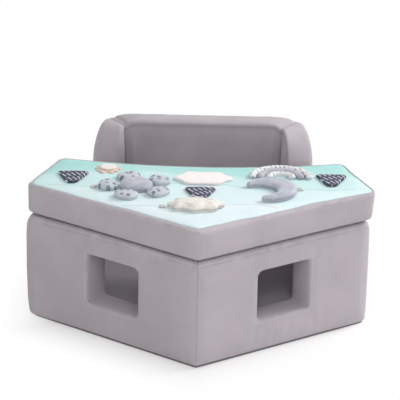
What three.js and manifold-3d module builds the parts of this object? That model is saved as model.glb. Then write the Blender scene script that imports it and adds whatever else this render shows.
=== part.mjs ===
// Baby activity center: a five-sided foam floor seat with a tall back and a padded table mat.
// Millimetres, +Z up, the front corner toward -Y, origin at the middle of the footprint on the floor.

import * as THREE from 'three';
import { mergeVertices } from 'three/addons/utils/BufferGeometryUtils.js';
import Module from 'manifold-3d';

const wasm = await Module();
wasm.setup();

// Plan: a regular pentagon with one corner to the front
const SIDE = 356;
const CORNER_R = 18;
const FRONT_CORNER_R = 5;
const REAR_CORNER_R = 16;
const INNER_CORNER_R = 6;

// Fabric and fits
const FABRIC = 1.6;
const GAP = 0.3;
const BEYOND = 20; // how far a cutting body runs past what it cuts

// Walls
const WALL = 50.8;
const BASE_H = 185.7;
const BACK_H = 260;
const WING_H = 252;
const WING_FOOT = 286;
const WING_TOP = 344;
const BACK_SHOULDER = 46;
const TOP_R = 9;
const MITRE_FAN = 86;

// Floor
const SHEET = 2;
const PAD_H = 55;
const PAD_CROWN = 4;
const PAD_EDGE_R = 7;
const PAD_SHOULDER = 30;
const PAD_FLAT = 80;

// Windows in the two front walls
const WINDOW_W = 109;
const WINDOW_H = 88;
const WINDOW_SILL = 56;
const WINDOW_R = 6;

// Hook and loop tape between the wall tops and the table mat
const TAPE_T = 1.4;
const TAPE_W = 25;
const FRONT_TAPE_LENGTH = 240;
const SIDE_TAPE_LENGTH = 90;
const SIDE_TAPE_START = 26;

// Table mat
const MAT_THICK = 55;
const MAT_OVERHANG = 4;
const MAT_REAR = 346;
const MAT_REAR_SPAN = 472;
const MAT_REAR_HOLLOW = 30;
const MAT_CORNER_R = 16;
const MAT_FRONT_R = 10;
const MAT_BOTTOM_R = 8;
const MAT_TOP_R = 5;
const MAT_CROWN = 3;
const MAT_SHOULDER = 14;
const MAT_FLAT_INSET = 28;
const PANEL_SEAM = 4;

// Zips
const ZIP_TAPE_W = 24;
const ZIP_TAPE_T = 0.9;
const ZIP_TAPE_END = 10;
const COIL_W = 5;
const COIL_T = 1.6;
const BASE_ZIP_LENGTH = 250;
const BASE_ZIP_Z = 38;
const MAT_ZIP_LENGTH = 190;
const MAT_ZIP_Z = 25;
const SLIDER_LENGTH = 11;
const SLIDER_W = 9;
const SLIDER_T = 3;
const LOOP_T = 1.6;
const LOOP_W = 2.4;
const LOOP_EYE = 2.2;
const PULL_LENGTH = 24;
const PULL_W = 7;
const PULL_T = 1.4;

// Ribbons that tie the loose shapes to the mat
const RIBBON_T = 1.2;
const RIBBON_W = 14;
const RIBBON_LENGTH = 10;
const HINGE_GAP = 0.8;

// Shapes on the mat: place as [across, depth from the front corner]
const MOON = { at: [108, 176], radius: 38, sweep: 230, width: 38, tip: 9, height: 14, tilt: 20 };
const CLOUD = { at: [-6, 102], across: 50, deep: 28, lobes: 8, swell: 0.09, height: 13 };
const FLOWER = {
  at: [-108, 190], petals: 5, reach: 66, centreR: 29, tuck: 5, petalW: 44, height: 14, petalT: 11,
};
const RAINBOW = { at: [136, 250], inner: 20, step: 14, width: 13.4, height: 8 };
const MIST = { at: [4, 238], across: 52, deep: 34, lobes: 6, swell: 0.07, height: 5 };
const SUN = { at: [-160, 281], rays: 10, rayR: 25, raySwell: 0.16, discR: 15, rayHeight: 2.4, height: 3 };
const PENNANT = { width: 60, length: 56, point: 14, corner: 7, height: 5 };
const PENNANTS = [[-218, 230], [0, 163], [222, 240]];

const GREY = 0xa8a0a7;
const LINING = 0x8d868c;
const FOAM = 0xe9e6dd;
const NAVY = 0x2b3050;

const SIDES = 5;
const STEP_ANGLE = (2 * Math.PI) / SIDES;
const HALF_STEP = STEP_ANGLE / 2;
const CIRCUM = SIDE / (2 * Math.sin(HALF_STEP));
const FOAM_INSET = FABRIC + GAP;
const WALL_BOTTOM = SHEET + GAP;

// The pentagon's corners are numbered anticlockwise from the front; the plan's origin is its centre.
const cornerAngle = (k) => -Math.PI / 2 + k * STEP_ANGLE;
const polar = (angle, radius) => new THREE.Vector2(Math.cos(angle), Math.sin(angle)).multiplyScalar(radius);
const cornerPoint = (k, inset) => polar(cornerAngle(k), CIRCUM - inset / Math.cos(HALF_STEP));
const at3 = (p, z) => new THREE.Vector3(p.x, p.y, z);

function material(color, roughness = 0.9, metalness = 0) {
  return new THREE.MeshStandardMaterial({ color, roughness, metalness });
}

function mesh(name, geometry, look) {
  const piece = new THREE.Mesh(geometry, look);
  piece.name = name;
  return piece;
}

// A closed body from rings of points: the rings are joined one to the next, and the ends are capped
// unless the last ring joins the first.
function loft(rings, closed = false) {
  const points = rings.flat();
  const count = rings[0].length;
  const faces = [];
  const last = closed ? rings.length : rings.length - 1;
  for (let i = 0; i < last; i++) {
    const low = i * count;
    const high = ((i + 1) % rings.length) * count;
    for (let j = 0; j < count; j++) {
      const next = (j + 1) % count;
      faces.push([low + j, low + next, high + next], [low + j, high + next, high + j]);
    }
  }
  if (!closed) {
    const top = (rings.length - 1) * count;
    for (const [a, b, c] of capFaces(rings[0])) faces.push([a, c, b]);
    for (const [a, b, c] of capFaces(rings[rings.length - 1])) faces.push([top + a, top + b, top + c]);
  }
  return closedGeometry(points, faces);
}

// Triangles over one ring, all turned the way the ring goes round
function capFaces(ring) {
  const normal = new THREE.Vector3();
  ring.forEach((p, i) => normal.add(new THREE.Vector3().crossVectors(p, ring[(i + 1) % ring.length])));
  normal.normalize();
  const side = new THREE.Vector3().subVectors(ring[1], ring[0]).normalize();
  const up = new THREE.Vector3().crossVectors(normal, side);
  const flat = ring.map((p) => new THREE.Vector2(p.dot(side), p.dot(up)));
  return THREE.ShapeUtils.triangulateShape(flat, []).map(([a, b, c]) => {
    const turn = flat[b].clone().sub(flat[a]).cross(flat[c].clone().sub(flat[a]));
    return turn > 0 ? [a, b, c] : [a, c, b];
  });
}

function closedGeometry(points, faces) {
  let volume = 0;
  for (const [a, b, c] of faces) {
    volume += points[a].dot(new THREE.Vector3().crossVectors(points[b], points[c]));
  }
  const turned = volume < 0 ? faces.map(([a, b, c]) => [a, c, b]) : faces;
  const geometry = new THREE.BufferGeometry();
  geometry.setAttribute('position', new THREE.Float32BufferAttribute(points.flatMap((p) => p.toArray()), 3));
  geometry.setIndex(turned.flat());
  return geometry;
}

function toSolid(geometry) {
  const plain = geometry.clone();
  plain.deleteAttribute('normal');
  plain.deleteAttribute('uv');
  const merged = mergeVertices(plain, 1e-4);
  return new wasm.Manifold(new wasm.Mesh({
    numProp: 3,
    vertProperties: new Float32Array(merged.attributes.position.array),
    triVerts: new Uint32Array(merged.index.array),
  }));
}

function toGeometry(solid) {
  const cut = solid.getMesh();
  const geometry = new THREE.BufferGeometry();
  geometry.setAttribute('position', new THREE.BufferAttribute(new Float32Array(cut.vertProperties), 3));
  geometry.setIndex(new THREE.BufferAttribute(new Uint32Array(cut.triVerts), 1));
  return geometry;
}

// Points round one corner of an outline that lies inset from the pentagon. The fillet shrinks with the
// inset, so outlines at different insets keep the same number of points.
function cornerArc(k, inset, radius, steps) {
  const fillet = Math.max(radius - inset, 2);
  const centre = cornerPoint(k, inset + fillet);
  const points = [];
  for (let i = 0; i <= steps; i++) {
    const angle = cornerAngle(k) - HALF_STEP + (STEP_ANGLE * i) / steps;
    points.push(polar(angle, fillet).add(centre));
  }
  return points;
}

function pentagon(inset, radius, steps = 4) {
  const points = [];
  for (let k = 0; k < SIDES; k++) points.push(...cornerArc(k, inset, radius, steps));
  return points;
}

function prism(outline, low, high) {
  return loft([outline.map((p) => at3(p, low)), outline.map((p) => at3(p, high))]);
}

// Everything between two corners' mitre planes, less half a gap at each
function sector(fromCorner, toCorner) {
  const reach = 2 * SIDE;
  const from = cornerAngle(fromCorner);
  const to = cornerAngle(toCorner);
  const shift = GAP / 2;
  const apex = polar((from + to) / 2, shift / Math.sin((to - from) / 2));
  const outline = [apex, polar(from, reach).add(polar(from + Math.PI / 2, shift))];
  for (let k = fromCorner + 1; k < toCorner; k++) outline.push(polar(cornerAngle(k), reach));
  outline.push(polar(to, reach).add(polar(to - Math.PI / 2, shift)));
  return toSolid(prism(outline, -BEYOND, BACK_H + BEYOND));
}

// The top edge of each wall, as [distance along the wall, height]. The wing rises from the low wall in a
// quarter of an ellipse, and the back swells a little from its two shoulders.
function wallTops() {
  const wing = [[0, BASE_H]];
  for (const t of [0, 0.04, 0.12, 0.25, 0.45, 0.7]) {
    const rise = Math.sqrt(1 - (1 - t) ** 2);
    wing.push([WING_FOOT + (WING_TOP - WING_FOOT) * t, BASE_H + (WING_H - BASE_H) * rise]);
  }
  wing.push([SIDE, WING_H]);
  const shoulder = BACK_H - WING_H;
  const back = [[0, WING_H], [BACK_SHOULDER / 2, WING_H + shoulder * 0.72], [BACK_SHOULDER, BACK_H]];
  const mirrored = (tops) => tops.map(([along, z]) => [SIDE - along, z]).reverse();
  const level = [[0, BASE_H], [SIDE, BASE_H]];
  return [level, wing, [...back, ...mirrored(back)], mirrored(wing), level];
}

// The same edge drawn in square to itself, without its two ends
function drawnIn(tops, inset) {
  return tops.slice(1, -1).map(([along, z], i) => {
    const normal = (from, to) => new THREE.Vector2(to[1] - from[1], from[0] - to[0]).normalize();
    const before = normal(tops[i], tops[i + 1]);
    const after = normal(tops[i + 1], tops[i + 2]);
    const shift = before.clone().add(after).multiplyScalar(inset / (1 + before.dot(after)));
    return [along + shift.x, z + shift.y];
  });
}

// Near a corner the lines across the wall fan out, because the inner face ends sooner than the outer one
function innerAlong(along, outerR) {
  const fan = (s) => {
    const outerStart = outerR * Math.tan(HALF_STEP);
    const innerStart = (WALL + INNER_CORNER_R) * Math.tan(HALF_STEP);
    return MITRE_FAN - ((MITRE_FAN - s) * (MITRE_FAN - innerStart)) / (MITRE_FAN - outerStart);
  };
  if (along < MITRE_FAN) return fan(along);
  if (along > SIDE - MITRE_FAN) return SIDE - fan(SIDE - along);
  return along;
}

// Stations round the ring of walls, drawn in by inset. Each has its outer and inner points in plan and
// the height of the wall's top.
function wallStations(inset) {
  const stations = [];
  const radii = [FRONT_CORNER_R, CORNER_R, REAR_CORNER_R, REAR_CORNER_R, CORNER_R];
  const tops = wallTops();
  const steps = 4;
  for (let k = 0; k < SIDES; k++) {
    const outerCentre = cornerPoint(k, radii[k]);
    const innerCentre = cornerPoint(k, WALL + INNER_CORNER_R);
    for (let i = 0; i <= steps; i++) {
      const out = polar(cornerAngle(k) - HALF_STEP + (STEP_ANGLE * i) / steps, 1);
      stations.push({
        outer: outerCentre.clone().addScaledVector(out, radii[k] - inset),
        inner: innerCentre.clone().addScaledVector(out, INNER_CORNER_R + inset),
        top: tops[k][0][1] - inset,
      });
    }
    const out = polar(cornerAngle(k) + HALF_STEP, 1);
    const start = cornerPoint(k, 0);
    const along = new THREE.Vector2().subVectors(cornerPoint(k + 1, 0), start).normalize();
    for (const [s, top] of drawnIn(tops[k], inset)) {
      const nearest = radii[s < SIDE / 2 ? k : (k + 1) % SIDES];
      const point = (distance, depth) =>
        start.clone().addScaledVector(along, distance).addScaledVector(out, -depth);
      stations.push({ outer: point(s, inset), inner: point(innerAlong(s, nearest), WALL - inset), top });
    }
  }
  return stations;
}

// The ring of walls as one body, drawn in by inset all round, with its two top edges rounded
function wallRing(inset, bottom) {
  const arc = 3;
  const rings = wallStations(inset).map(({ outer, inner, top }) => {
    const width = outer.distanceTo(inner);
    const radius = TOP_R - inset;
    const section = [[0, bottom]];
    for (let i = 0; i <= arc; i++) {
      const angle = (Math.PI / 2) * (i / arc);
      section.push([radius * (1 - Math.cos(angle)), top - radius * (1 - Math.sin(angle))]);
    }
    for (let i = arc; i >= 0; i--) {
      const angle = (Math.PI / 2) * (i / arc);
      section.push([width - radius * (1 - Math.cos(angle)), top - radius * (1 - Math.sin(angle))]);
    }
    section.push([width, bottom]);
    return section.map(([across, z]) => at3(outer.clone().lerp(inner, across / width), z));
  });
  return toSolid(loft(rings, true));
}

// A window right through front wall k, grown by margin on every side
function windowHole(k, margin) {
  const width = WINDOW_W / 2 + margin;
  const low = WINDOW_SILL - margin;
  const high = WINDOW_SILL + WINDOW_H + margin;
  const corners = [[-width, low], [width, low], [width, high], [-width, high]];
  const outline = roundedOutline(corners, WINDOW_R + margin, 3);
  const out = polar(cornerAngle(k) + HALF_STEP, 1);
  const along = polar(cornerAngle(k) + HALF_STEP + Math.PI / 2, 1);
  const middle = cornerPoint(k, 0).add(cornerPoint(k + 1, 0)).multiplyScalar(0.5);
  const ring = (reach) => outline.map((p) =>
    at3(middle.clone().addScaledVector(along, p.x).addScaledVector(out, reach), p.y));
  return toSolid(loft([ring(-2 * WALL), ring(WALL)]));
}

// A polygon with its corners rounded, as [x, y] pairs in, Vector2 out
function roundedOutline(corners, radius, steps) {
  const points = [];
  const count = corners.length;
  corners.forEach((corner, i) => {
    const here = new THREE.Vector2(...corner);
    const before = new THREE.Vector2(...corners[(i + count - 1) % count]).sub(here).normalize();
    const after = new THREE.Vector2(...corners[(i + 1) % count]).sub(here).normalize();
    const half = Math.acos(THREE.MathUtils.clamp(before.dot(after), -1, 1)) / 2;
    const centre = before.clone().add(after).normalize().multiplyScalar(radius / Math.sin(half)).add(here);
    const start = here.clone().addScaledVector(before, radius / Math.tan(half)).sub(centre);
    const turn = Math.PI - 2 * half;
    for (let s = 0; s <= steps; s++) {
      points.push(start.clone().rotateAround(new THREE.Vector2(), (turn * s) / steps).add(centre));
    }
  });
  return points;
}

function buildBase() {
  const base = new THREE.Group();
  const grey = material(GREY);
  const foam = material(FOAM, 0.95);

  base.add(mesh('non_slip_sheet', prism(pentagon(1, CORNER_R), 0, SHEET), material(0x6f6a6e, 0.8)));

  const padInset = WALL + GAP;
  base.add(mesh('floor_foam', padStack(padInset + FOAM_INSET, WALL_BOTTOM, FOAM_INSET), foam));
  const padShell = toSolid(padStack(padInset, WALL_BOTTOM, 0))
    .subtract(toSolid(padStack(padInset + FABRIC, WALL_BOTTOM - BEYOND, FABRIC)));
  base.add(mesh('floor_cover', toGeometry(padShell), material(LINING)));

  const windows = (margin) => windowHole(0, margin).add(windowHole(4, margin));
  const foamRing = wallRing(FOAM_INSET, WALL_BOTTOM).subtract(windows(FOAM_INSET));
  const foams = ['front_right_foam', 'side_right_foam', 'back_foam', 'side_left_foam', 'front_left_foam'];
  foams.forEach((name, k) => {
    base.add(mesh(name, toGeometry(foamRing.intersect(sector(k, k + 1))), foam));
  });

  const hollow = wallRing(FABRIC, WALL_BOTTOM - BEYOND).subtract(windows(FABRIC));
  const shell = wallRing(0, WALL_BOTTOM).subtract(hollow).subtract(windows(0));
  base.add(mesh('cover_right', toGeometry(shell.intersect(sector(0, 2))), grey));
  base.add(mesh('cover_back', toGeometry(shell.intersect(sector(2, 3))), grey));
  base.add(mesh('cover_left', toGeometry(shell.intersect(sector(3, 5))), grey));

  for (const [name, outline] of tapePlaces('hook_strip')) {
    base.add(mesh(name, prism(outline, BASE_H + GAP, BASE_H + GAP + TAPE_T), material(0x77727a, 0.95)));
  }
  base.add(baseZip());
  return base;
}

// The floor pad: straight sides, a rounded top edge and a low crown. Shrink lowers the top for the foam.
function padStack(inset, bottom, shrink) {
  const top = PAD_H - shrink;
  const edge = top - PAD_CROWN;
  const radius = PAD_EDGE_R - shrink;
  const levels = [
    [0, bottom],
    [0, edge - radius],
    [radius * 0.3, edge - radius * 0.3],
    [radius, edge],
    [PAD_SHOULDER, edge + PAD_CROWN * 0.7],
    [PAD_FLAT, top],
  ];
  const outline = (extra) => pentagon(inset + extra, inset + INNER_CORNER_R, 2);
  return loft(levels.map(([extra, z]) => outline(extra).map((p) => at3(p, z))));
}

// Places of the four strips of tape, as outlines that lie along the middle of each wall
function tapePlaces(prefix) {
  const strip = (k, start, length) => {
    const out = polar(cornerAngle(k) + HALF_STEP, 1);
    const from = cornerPoint(k, 0);
    const along = new THREE.Vector2().subVectors(cornerPoint(k + 1, 0), from).normalize();
    const point = (s, w) => from.clone().addScaledVector(along, s).addScaledVector(out, w - WALL / 2);
    return [
      point(start, TAPE_W / 2), point(start, -TAPE_W / 2),
      point(start + length, -TAPE_W / 2), point(start + length, TAPE_W / 2),
    ].reverse();
  };
  const frontStart = (SIDE - FRONT_TAPE_LENGTH) / 2;
  return [
    [`${prefix}_front_right`, strip(0, frontStart, FRONT_TAPE_LENGTH)],
    [`${prefix}_side_right`, strip(1, SIDE_TAPE_START, SIDE_TAPE_LENGTH)],
    [`${prefix}_side_left`, strip(3, SIDE - SIDE_TAPE_START - SIDE_TAPE_LENGTH, SIDE_TAPE_LENGTH)],
    [`${prefix}_front_left`, strip(4, frontStart, FRONT_TAPE_LENGTH)],
  ];
}

function box(width, depth, height, x, y, z) {
  const geometry = new THREE.BoxGeometry(width, depth, height);
  geometry.translate(x, y, z);
  return geometry;
}

const tapeLook = material(0x8f888f);
const coilLook = material(0x7b757c, 0.5);
const metalLook = material(0xb9b9bd, 0.35, 1);

// Zip parts in their own frame: the coil runs along X, and the outside of the cover is toward +Y at y = 0
const SLIDER_BACK = 3 * GAP + ZIP_TAPE_T + COIL_T;
const SLIDER_FRONT = SLIDER_BACK + SLIDER_T;
const HINGE_Y = SLIDER_FRONT + LOOP_EYE / 2;

function zipSlider() {
  const body = toSolid(box(SLIDER_LENGTH, SLIDER_T, SLIDER_W, 0, (SLIDER_BACK + SLIDER_FRONT) / 2, 0));
  const root = SLIDER_T / 2;
  const reach = root + LOOP_EYE + LOOP_T;
  const loop = toSolid(box(LOOP_W, reach, LOOP_EYE + 2 * LOOP_T, 0, SLIDER_FRONT - root + reach / 2, 0))
    .subtract(toSolid(box(LOOP_W * 2, LOOP_EYE, LOOP_EYE, 0, HINGE_Y, 0)));
  return toGeometry(body.add(loop));
}

// The pull hangs from the slider's loop by the bar across its upper end
function zipPull() {
  const half = PULL_T / 2;
  const side = PULL_W / 2;
  const corners = [[-side, -PULL_LENGTH], [side, -PULL_LENGTH], [side, half], [-side, half]];
  const plate = roundedOutline(corners, half, 2);
  const ring = (y) => plate.map((p) => new THREE.Vector3(p.x, y, p.y));
  const slot = (LOOP_EYE / 2 + LOOP_T) * Math.SQRT2 + GAP - half;
  const opening = box(LOOP_W + 3 * GAP, PULL_T * 3, slot, 0, HINGE_Y, -half - slot / 2);
  return toGeometry(toSolid(loft([ring(HINGE_Y - half), ring(HINGE_Y + half)])).subtract(toSolid(opening)));
}

function baseZip() {
  const zip = new THREE.Group();
  const half = BASE_ZIP_LENGTH / 2;
  const tape = box(BASE_ZIP_LENGTH + 2 * ZIP_TAPE_END, ZIP_TAPE_T, ZIP_TAPE_W, 0, GAP + ZIP_TAPE_T / 2, 0);
  const coil = box(BASE_ZIP_LENGTH, COIL_T, COIL_W, 0, 2 * GAP + ZIP_TAPE_T + COIL_T / 2, 0);
  zip.add(mesh('base_zip_tape', tape, tapeLook), mesh('base_zip_coil', coil, coilLook));
  const runner = new THREE.Group();
  runner.add(mesh('base_zip_slider', zipSlider(), metalLook), mesh('base_zip_pull', zipPull(), metalLook));
  runner.position.x = -half + SLIDER_LENGTH;
  zip.add(runner);
  zip.position.set(0, cornerPoint(2, 0).y, BASE_ZIP_Z);
  return zip;
}

// Table mat. Its outline follows the pentagon a little outside it, and its rear edge is a hollow arc.
const MAT_BOTTOM = BASE_H + 3 * GAP + 2 * TAPE_T;
const MAT_TOP = MAT_BOTTOM + MAT_THICK;

function rearArc() {
  const y = MAT_REAR - CIRCUM;
  const radius = ((MAT_REAR_SPAN / 2) ** 2 + MAT_REAR_HOLLOW ** 2) / (2 * MAT_REAR_HOLLOW);
  return { radius, centre: new THREE.Vector2(0, y - MAT_REAR_HOLLOW + radius) };
}

function matOutline(inset) {
  const arc = rearArc();
  const steps = 4;
  const points = [];
  points.push(...cornerArc(4, inset - MAT_OVERHANG, MAT_CORNER_R - MAT_OVERHANG, steps));
  points.push(...cornerArc(0, inset - MAT_OVERHANG, MAT_FRONT_R - MAT_OVERHANG, steps));
  points.push(...cornerArc(1, inset - MAT_OVERHANG, MAT_CORNER_R - MAT_OVERHANG, steps));

  // Rear right corner: its fillet touches the side line and the hollow arc
  const fillet = Math.max(MAT_CORNER_R - inset, 2);
  const out = polar(cornerAngle(1) + HALF_STEP, 1);
  const along = out.clone().rotateAround(new THREE.Vector2(), Math.PI / 2);
  const start = cornerPoint(1, inset - MAT_OVERHANG).addScaledVector(out, -fillet);
  const toCentre = new THREE.Vector2().subVectors(start, arc.centre);
  const b = toCentre.dot(along);
  const c = toCentre.lengthSq() - (arc.radius + inset + fillet) ** 2;
  const travel = -b - Math.sqrt(b * b - c);
  const centre = start.clone().addScaledVector(along, travel);
  const inward = new THREE.Vector2().subVectors(arc.centre, centre).angle();
  const first = out.angle();
  const right = [];
  for (let i = 0; i <= steps; i++) {
    right.push(polar(first + ((inward - first) * i) / steps, fillet).add(centre));
  }
  const rear = [];
  const rearSteps = 10;
  const spread = inward - Math.PI / 2;
  for (let i = 1; i < rearSteps; i++) {
    const angle = inward + Math.PI - (2 * spread * i) / rearSteps;
    rear.push(polar(angle, arc.radius + inset).add(arc.centre));
  }
  const left = right.map((p) => new THREE.Vector2(-p.x, p.y)).reverse();
  points.push(...right, ...rear, ...left);
  return points;
}

// The mat as a stack of outlines: a rounded bottom edge, a band, a rounded top edge and a low crown
function matStack(shrink) {
  const low = MAT_BOTTOM + shrink;
  const high = MAT_TOP - shrink;
  const edge = high - MAT_CROWN;
  const r1 = MAT_BOTTOM_R - shrink;
  const r2 = MAT_TOP_R - shrink * 0.5;
  const levels = [
    [r1, low],
    [r1 * 0.3, low + r1 * 0.3],
    [0, low + r1],
    [0, edge - r2],
    [r2 * 0.3, edge - r2 * 0.3],
    [r2, edge],
    [MAT_SHOULDER, edge + MAT_CROWN * 0.65],
    [MAT_FLAT_INSET, high],
  ];
  return loft(levels.map(([inset, z]) => matOutline(shrink + inset).map((p) => at3(p, z))));
}

function buildMat() {
  const mat = new THREE.Group();
  const seamZ = MAT_TOP - MAT_CROWN - MAT_TOP_R * 0.8;
  const shell = toSolid(matStack(0)).subtract(toSolid(matStack(FABRIC)));
  const above = (inset, z) => toSolid(prism(matOutline(inset), z, MAT_TOP + BEYOND));
  const panel = shell.intersect(above(PANEL_SEAM, seamZ));
  const band = shell.subtract(above(PANEL_SEAM - GAP, seamZ - GAP));
  mat.add(mesh('mat_foam', matStack(FOAM_INSET), material(FOAM, 0.95)));
  mat.add(mesh('mat_band', toGeometry(band), material(GREY)));
  mat.add(mesh('mat_top_panel', toGeometry(panel), material(0xcfe9e9)));

  const tapeZ = BASE_H + 2 * GAP + TAPE_T;
  for (const [name, outline] of tapePlaces('loop_strip')) {
    mat.add(mesh(name, prism(outline, tapeZ, tapeZ + TAPE_T), material(0x8d8890, 1)));
  }
  mat.add(matZip());

  const shapes = new THREE.Group();
  shapes.position.set(0, -CIRCUM, MAT_TOP + GAP);
  shapes.add(moon(), cloud(), flower(), rainbow(), mist(), sun());
  PENNANTS.forEach((place, i) => shapes.add(pennant(i + 1, place)));
  mat.add(shapes);
  return mat;
}

// The mat's zip follows the hollow rear edge: its tape and coil are bent to the same arc
function matZip() {
  const zip = new THREE.Group();
  const arc = rearArc();
  const z = MAT_BOTTOM + MAT_ZIP_Z;
  const bent = (length, near, thick, height) => {
    const steps = 8;
    const half = length / 2 / arc.radius;
    const side = (radius) => {
      const points = [];
      for (let i = 0; i <= steps; i++) {
        points.push(polar(-Math.PI / 2 - half + (2 * half * i) / steps, radius).add(arc.centre));
      }
      return points;
    };
    const outline = [...side(arc.radius - near), ...side(arc.radius - near - thick).reverse()];
    return prism(outline, z - height / 2, z + height / 2);
  };
  const tape = bent(MAT_ZIP_LENGTH + 2 * ZIP_TAPE_END, GAP, ZIP_TAPE_T, ZIP_TAPE_W);
  const coil = bent(MAT_ZIP_LENGTH, 2 * GAP + ZIP_TAPE_T, COIL_T, COIL_W);
  zip.add(mesh('mat_zip_tape', tape, tapeLook), mesh('mat_zip_coil', coil, coilLook));

  const runner = new THREE.Group();
  runner.add(mesh('mat_zip_slider', zipSlider(), metalLook), mesh('mat_zip_pull', zipPull(), metalLook));
  runner.position.set(0, -arc.radius, 0);
  const swing = new THREE.Group();
  swing.add(runner);
  swing.position.set(arc.centre.x, arc.centre.y, z);
  swing.rotation.z = (-MAT_ZIP_LENGTH / 2 + SLIDER_LENGTH) / arc.radius;
  zip.add(swing);
  return zip;
}

// A stuffed flat shape: its outline swells over these levels, as [size, height], and closes at the top
const PUFF_LEVELS = [[0.86, 0], [0.97, 0.14], [1, 0.36], [0.95, 0.64], [0.82, 0.85], [0.55, 0.97], [0.2, 1]];
const FLAT_LEVELS = [[0.97, 0], [1, 0.35], [0.98, 0.75], [0.92, 1]];

function puff(outline, height, levels = PUFF_LEVELS) {
  const middle = outline.reduce((sum, p) => sum.add(p), new THREE.Vector2()).divideScalar(outline.length);
  return loft(levels.map(([size, z]) => outline.map((p) => at3(middle.clone().lerp(p, size), z * height))));
}

function lobedOutline({ across, deep, lobes, swell }, count) {
  const points = [];
  for (let i = 0; i < count; i++) {
    const angle = (2 * Math.PI * i) / count;
    const reach = 1 - swell + swell * Math.cos(lobes * angle);
    points.push(new THREE.Vector2(across * reach * Math.cos(angle), deep * reach * Math.sin(angle)));
  }
  return points;
}

function circle(radius, count) {
  return lobedOutline({ across: radius, deep: radius, lobes: 1, swell: 0 }, count);
}

// A stuffed body along an arc. Width and height are functions of the share of the way along it.
function stuffedArc(radius, from, to, width, height, steps) {
  const rings = [];
  const around = 10;
  for (let i = 0; i <= steps; i++) {
    const share = i / steps;
    const angle = THREE.MathUtils.degToRad(THREE.MathUtils.lerp(from, to, share));
    const ring = [];
    for (let j = 0; j < around; j++) {
      const turn = (2 * Math.PI * j) / around;
      const reach = radius + (width(share) / 2) * Math.cos(turn);
      ring.push(at3(polar(angle, reach), (height(share) / 2) * (1 + Math.sin(turn))));
    }
    rings.push(ring);
  }
  return loft(rings);
}

// A ribbon that ends at the hinge line of a loose shape, seen along the way from the shape to the ribbon
function ribbon(name, x, y, degrees) {
  const tape = box(RIBBON_W, RIBBON_LENGTH, RIBBON_T, 0, RIBBON_LENGTH / 2, RIBBON_T / 2);
  const strip = mesh(name, tape, material(0xd9d5d8));
  strip.position.set(x, y, 0);
  strip.rotation.z = THREE.MathUtils.degToRad(degrees);
  return strip;
}

function moon() {
  const group = new THREE.Group();
  const { at, radius, sweep, width, tip, height, tilt } = MOON;
  const fat = (share) => Math.sin(Math.PI * share);
  const widthAt = (share) => tip + (width - tip) * fat(share);
  const heightAt = (share) => height * (0.4 + 0.6 * fat(share));
  const body = stuffedArc(radius, -sweep / 2, sweep / 2, widthAt, heightAt, 18);
  const plush = mesh('moon_plush', body, material(0xa9aab8, 1));
  plush.position.z = GAP;
  group.add(plush, ribbon('moon_ribbon', radius + width / 2 + HINGE_GAP, 0, -90));
  group.position.set(at[0], at[1], 0);
  group.rotation.z = THREE.MathUtils.degToRad(tilt);
  return group;
}

function cloud() {
  const group = new THREE.Group();
  const plush = mesh('cloud_plush', puff(lobedOutline(CLOUD, CLOUD.lobes * 4), CLOUD.height), material(0xf3f1ea, 1));
  plush.position.z = GAP;
  group.add(plush, ribbon('cloud_ribbon', -CLOUD.across - HINGE_GAP, 0, 90));
  group.position.set(CLOUD.at[0], CLOUD.at[1], 0);
  return group;
}

function flower() {
  const group = new THREE.Group();
  const { at, petals, reach, centreR, tuck, petalW, height, petalT } = FLOWER;
  const centre = mesh('flower_centre', puff(circle(centreR, 20), height), material(0x9aa0a8, 1));
  centre.position.z = GAP;
  group.add(centre);
  const inner = centreR - tuck;
  const clear = toSolid(prism(circle(centreR + GAP, 20), -1, 2 * height));
  const middle = (inner + reach) / 2;
  const shape = { across: (reach - inner) / 2, deep: petalW / 2, lobes: 1, swell: 0 };
  for (let i = 0; i < petals; i++) {
    const outline = lobedOutline(shape, 18).map((p) => p.add(new THREE.Vector2(middle, 0))
      .rotateAround(new THREE.Vector2(), (2 * Math.PI * (i + 0.5)) / petals));
    const petal = toSolid(puff(outline, petalT)).subtract(clear);
    const piece = mesh(`flower_petal_${i + 1}`, toGeometry(petal), material(0xaab4ba, 1));
    piece.position.z = GAP;
    group.add(piece);
  }
  group.add(ribbon('flower_ribbon', -reach - HINGE_GAP, 0, 90));
  group.position.set(at[0], at[1], 0);
  return group;
}

function rainbow() {
  const group = new THREE.Group();
  const { at, inner, step, width, height } = RAINBOW;
  const looks = [0xf2f0ee, 0xb3b2bb, 0xf2f0ee];
  ['inner', 'middle', 'outer'].forEach((name, i) => {
    const arc = stuffedArc(inner + i * step, 0, 180, () => width, () => height, 12);
    group.add(mesh(`rainbow_${name}`, arc, material(looks[i], 1)));
  });
  group.position.set(at[0], at[1], 0);
  return group;
}

function mist() {
  const body = puff(lobedOutline(MIST, MIST.lobes * 5), MIST.height, FLAT_LEVELS);
  const patch = mesh('mist_patch', body, material(0xf0e9e8));
  patch.position.set(MIST.at[0], MIST.at[1], 0);
  return patch;
}

function sun() {
  const group = new THREE.Group();
  const { at, rays, rayR, raySwell, discR, rayHeight, height } = SUN;
  const star = { across: rayR, deep: rayR, lobes: rays, swell: raySwell };
  group.add(mesh('sun_rays', puff(lobedOutline(star, rays * 4), rayHeight, FLAT_LEVELS), material(0xeec3a8)));
  const disc = mesh('sun_disc', puff(circle(discR, 20), height, FLAT_LEVELS), material(0xf7f4ef));
  disc.position.z = rayHeight + GAP;
  group.add(disc);
  group.position.set(at[0], at[1], 0);
  return group;
}

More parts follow.
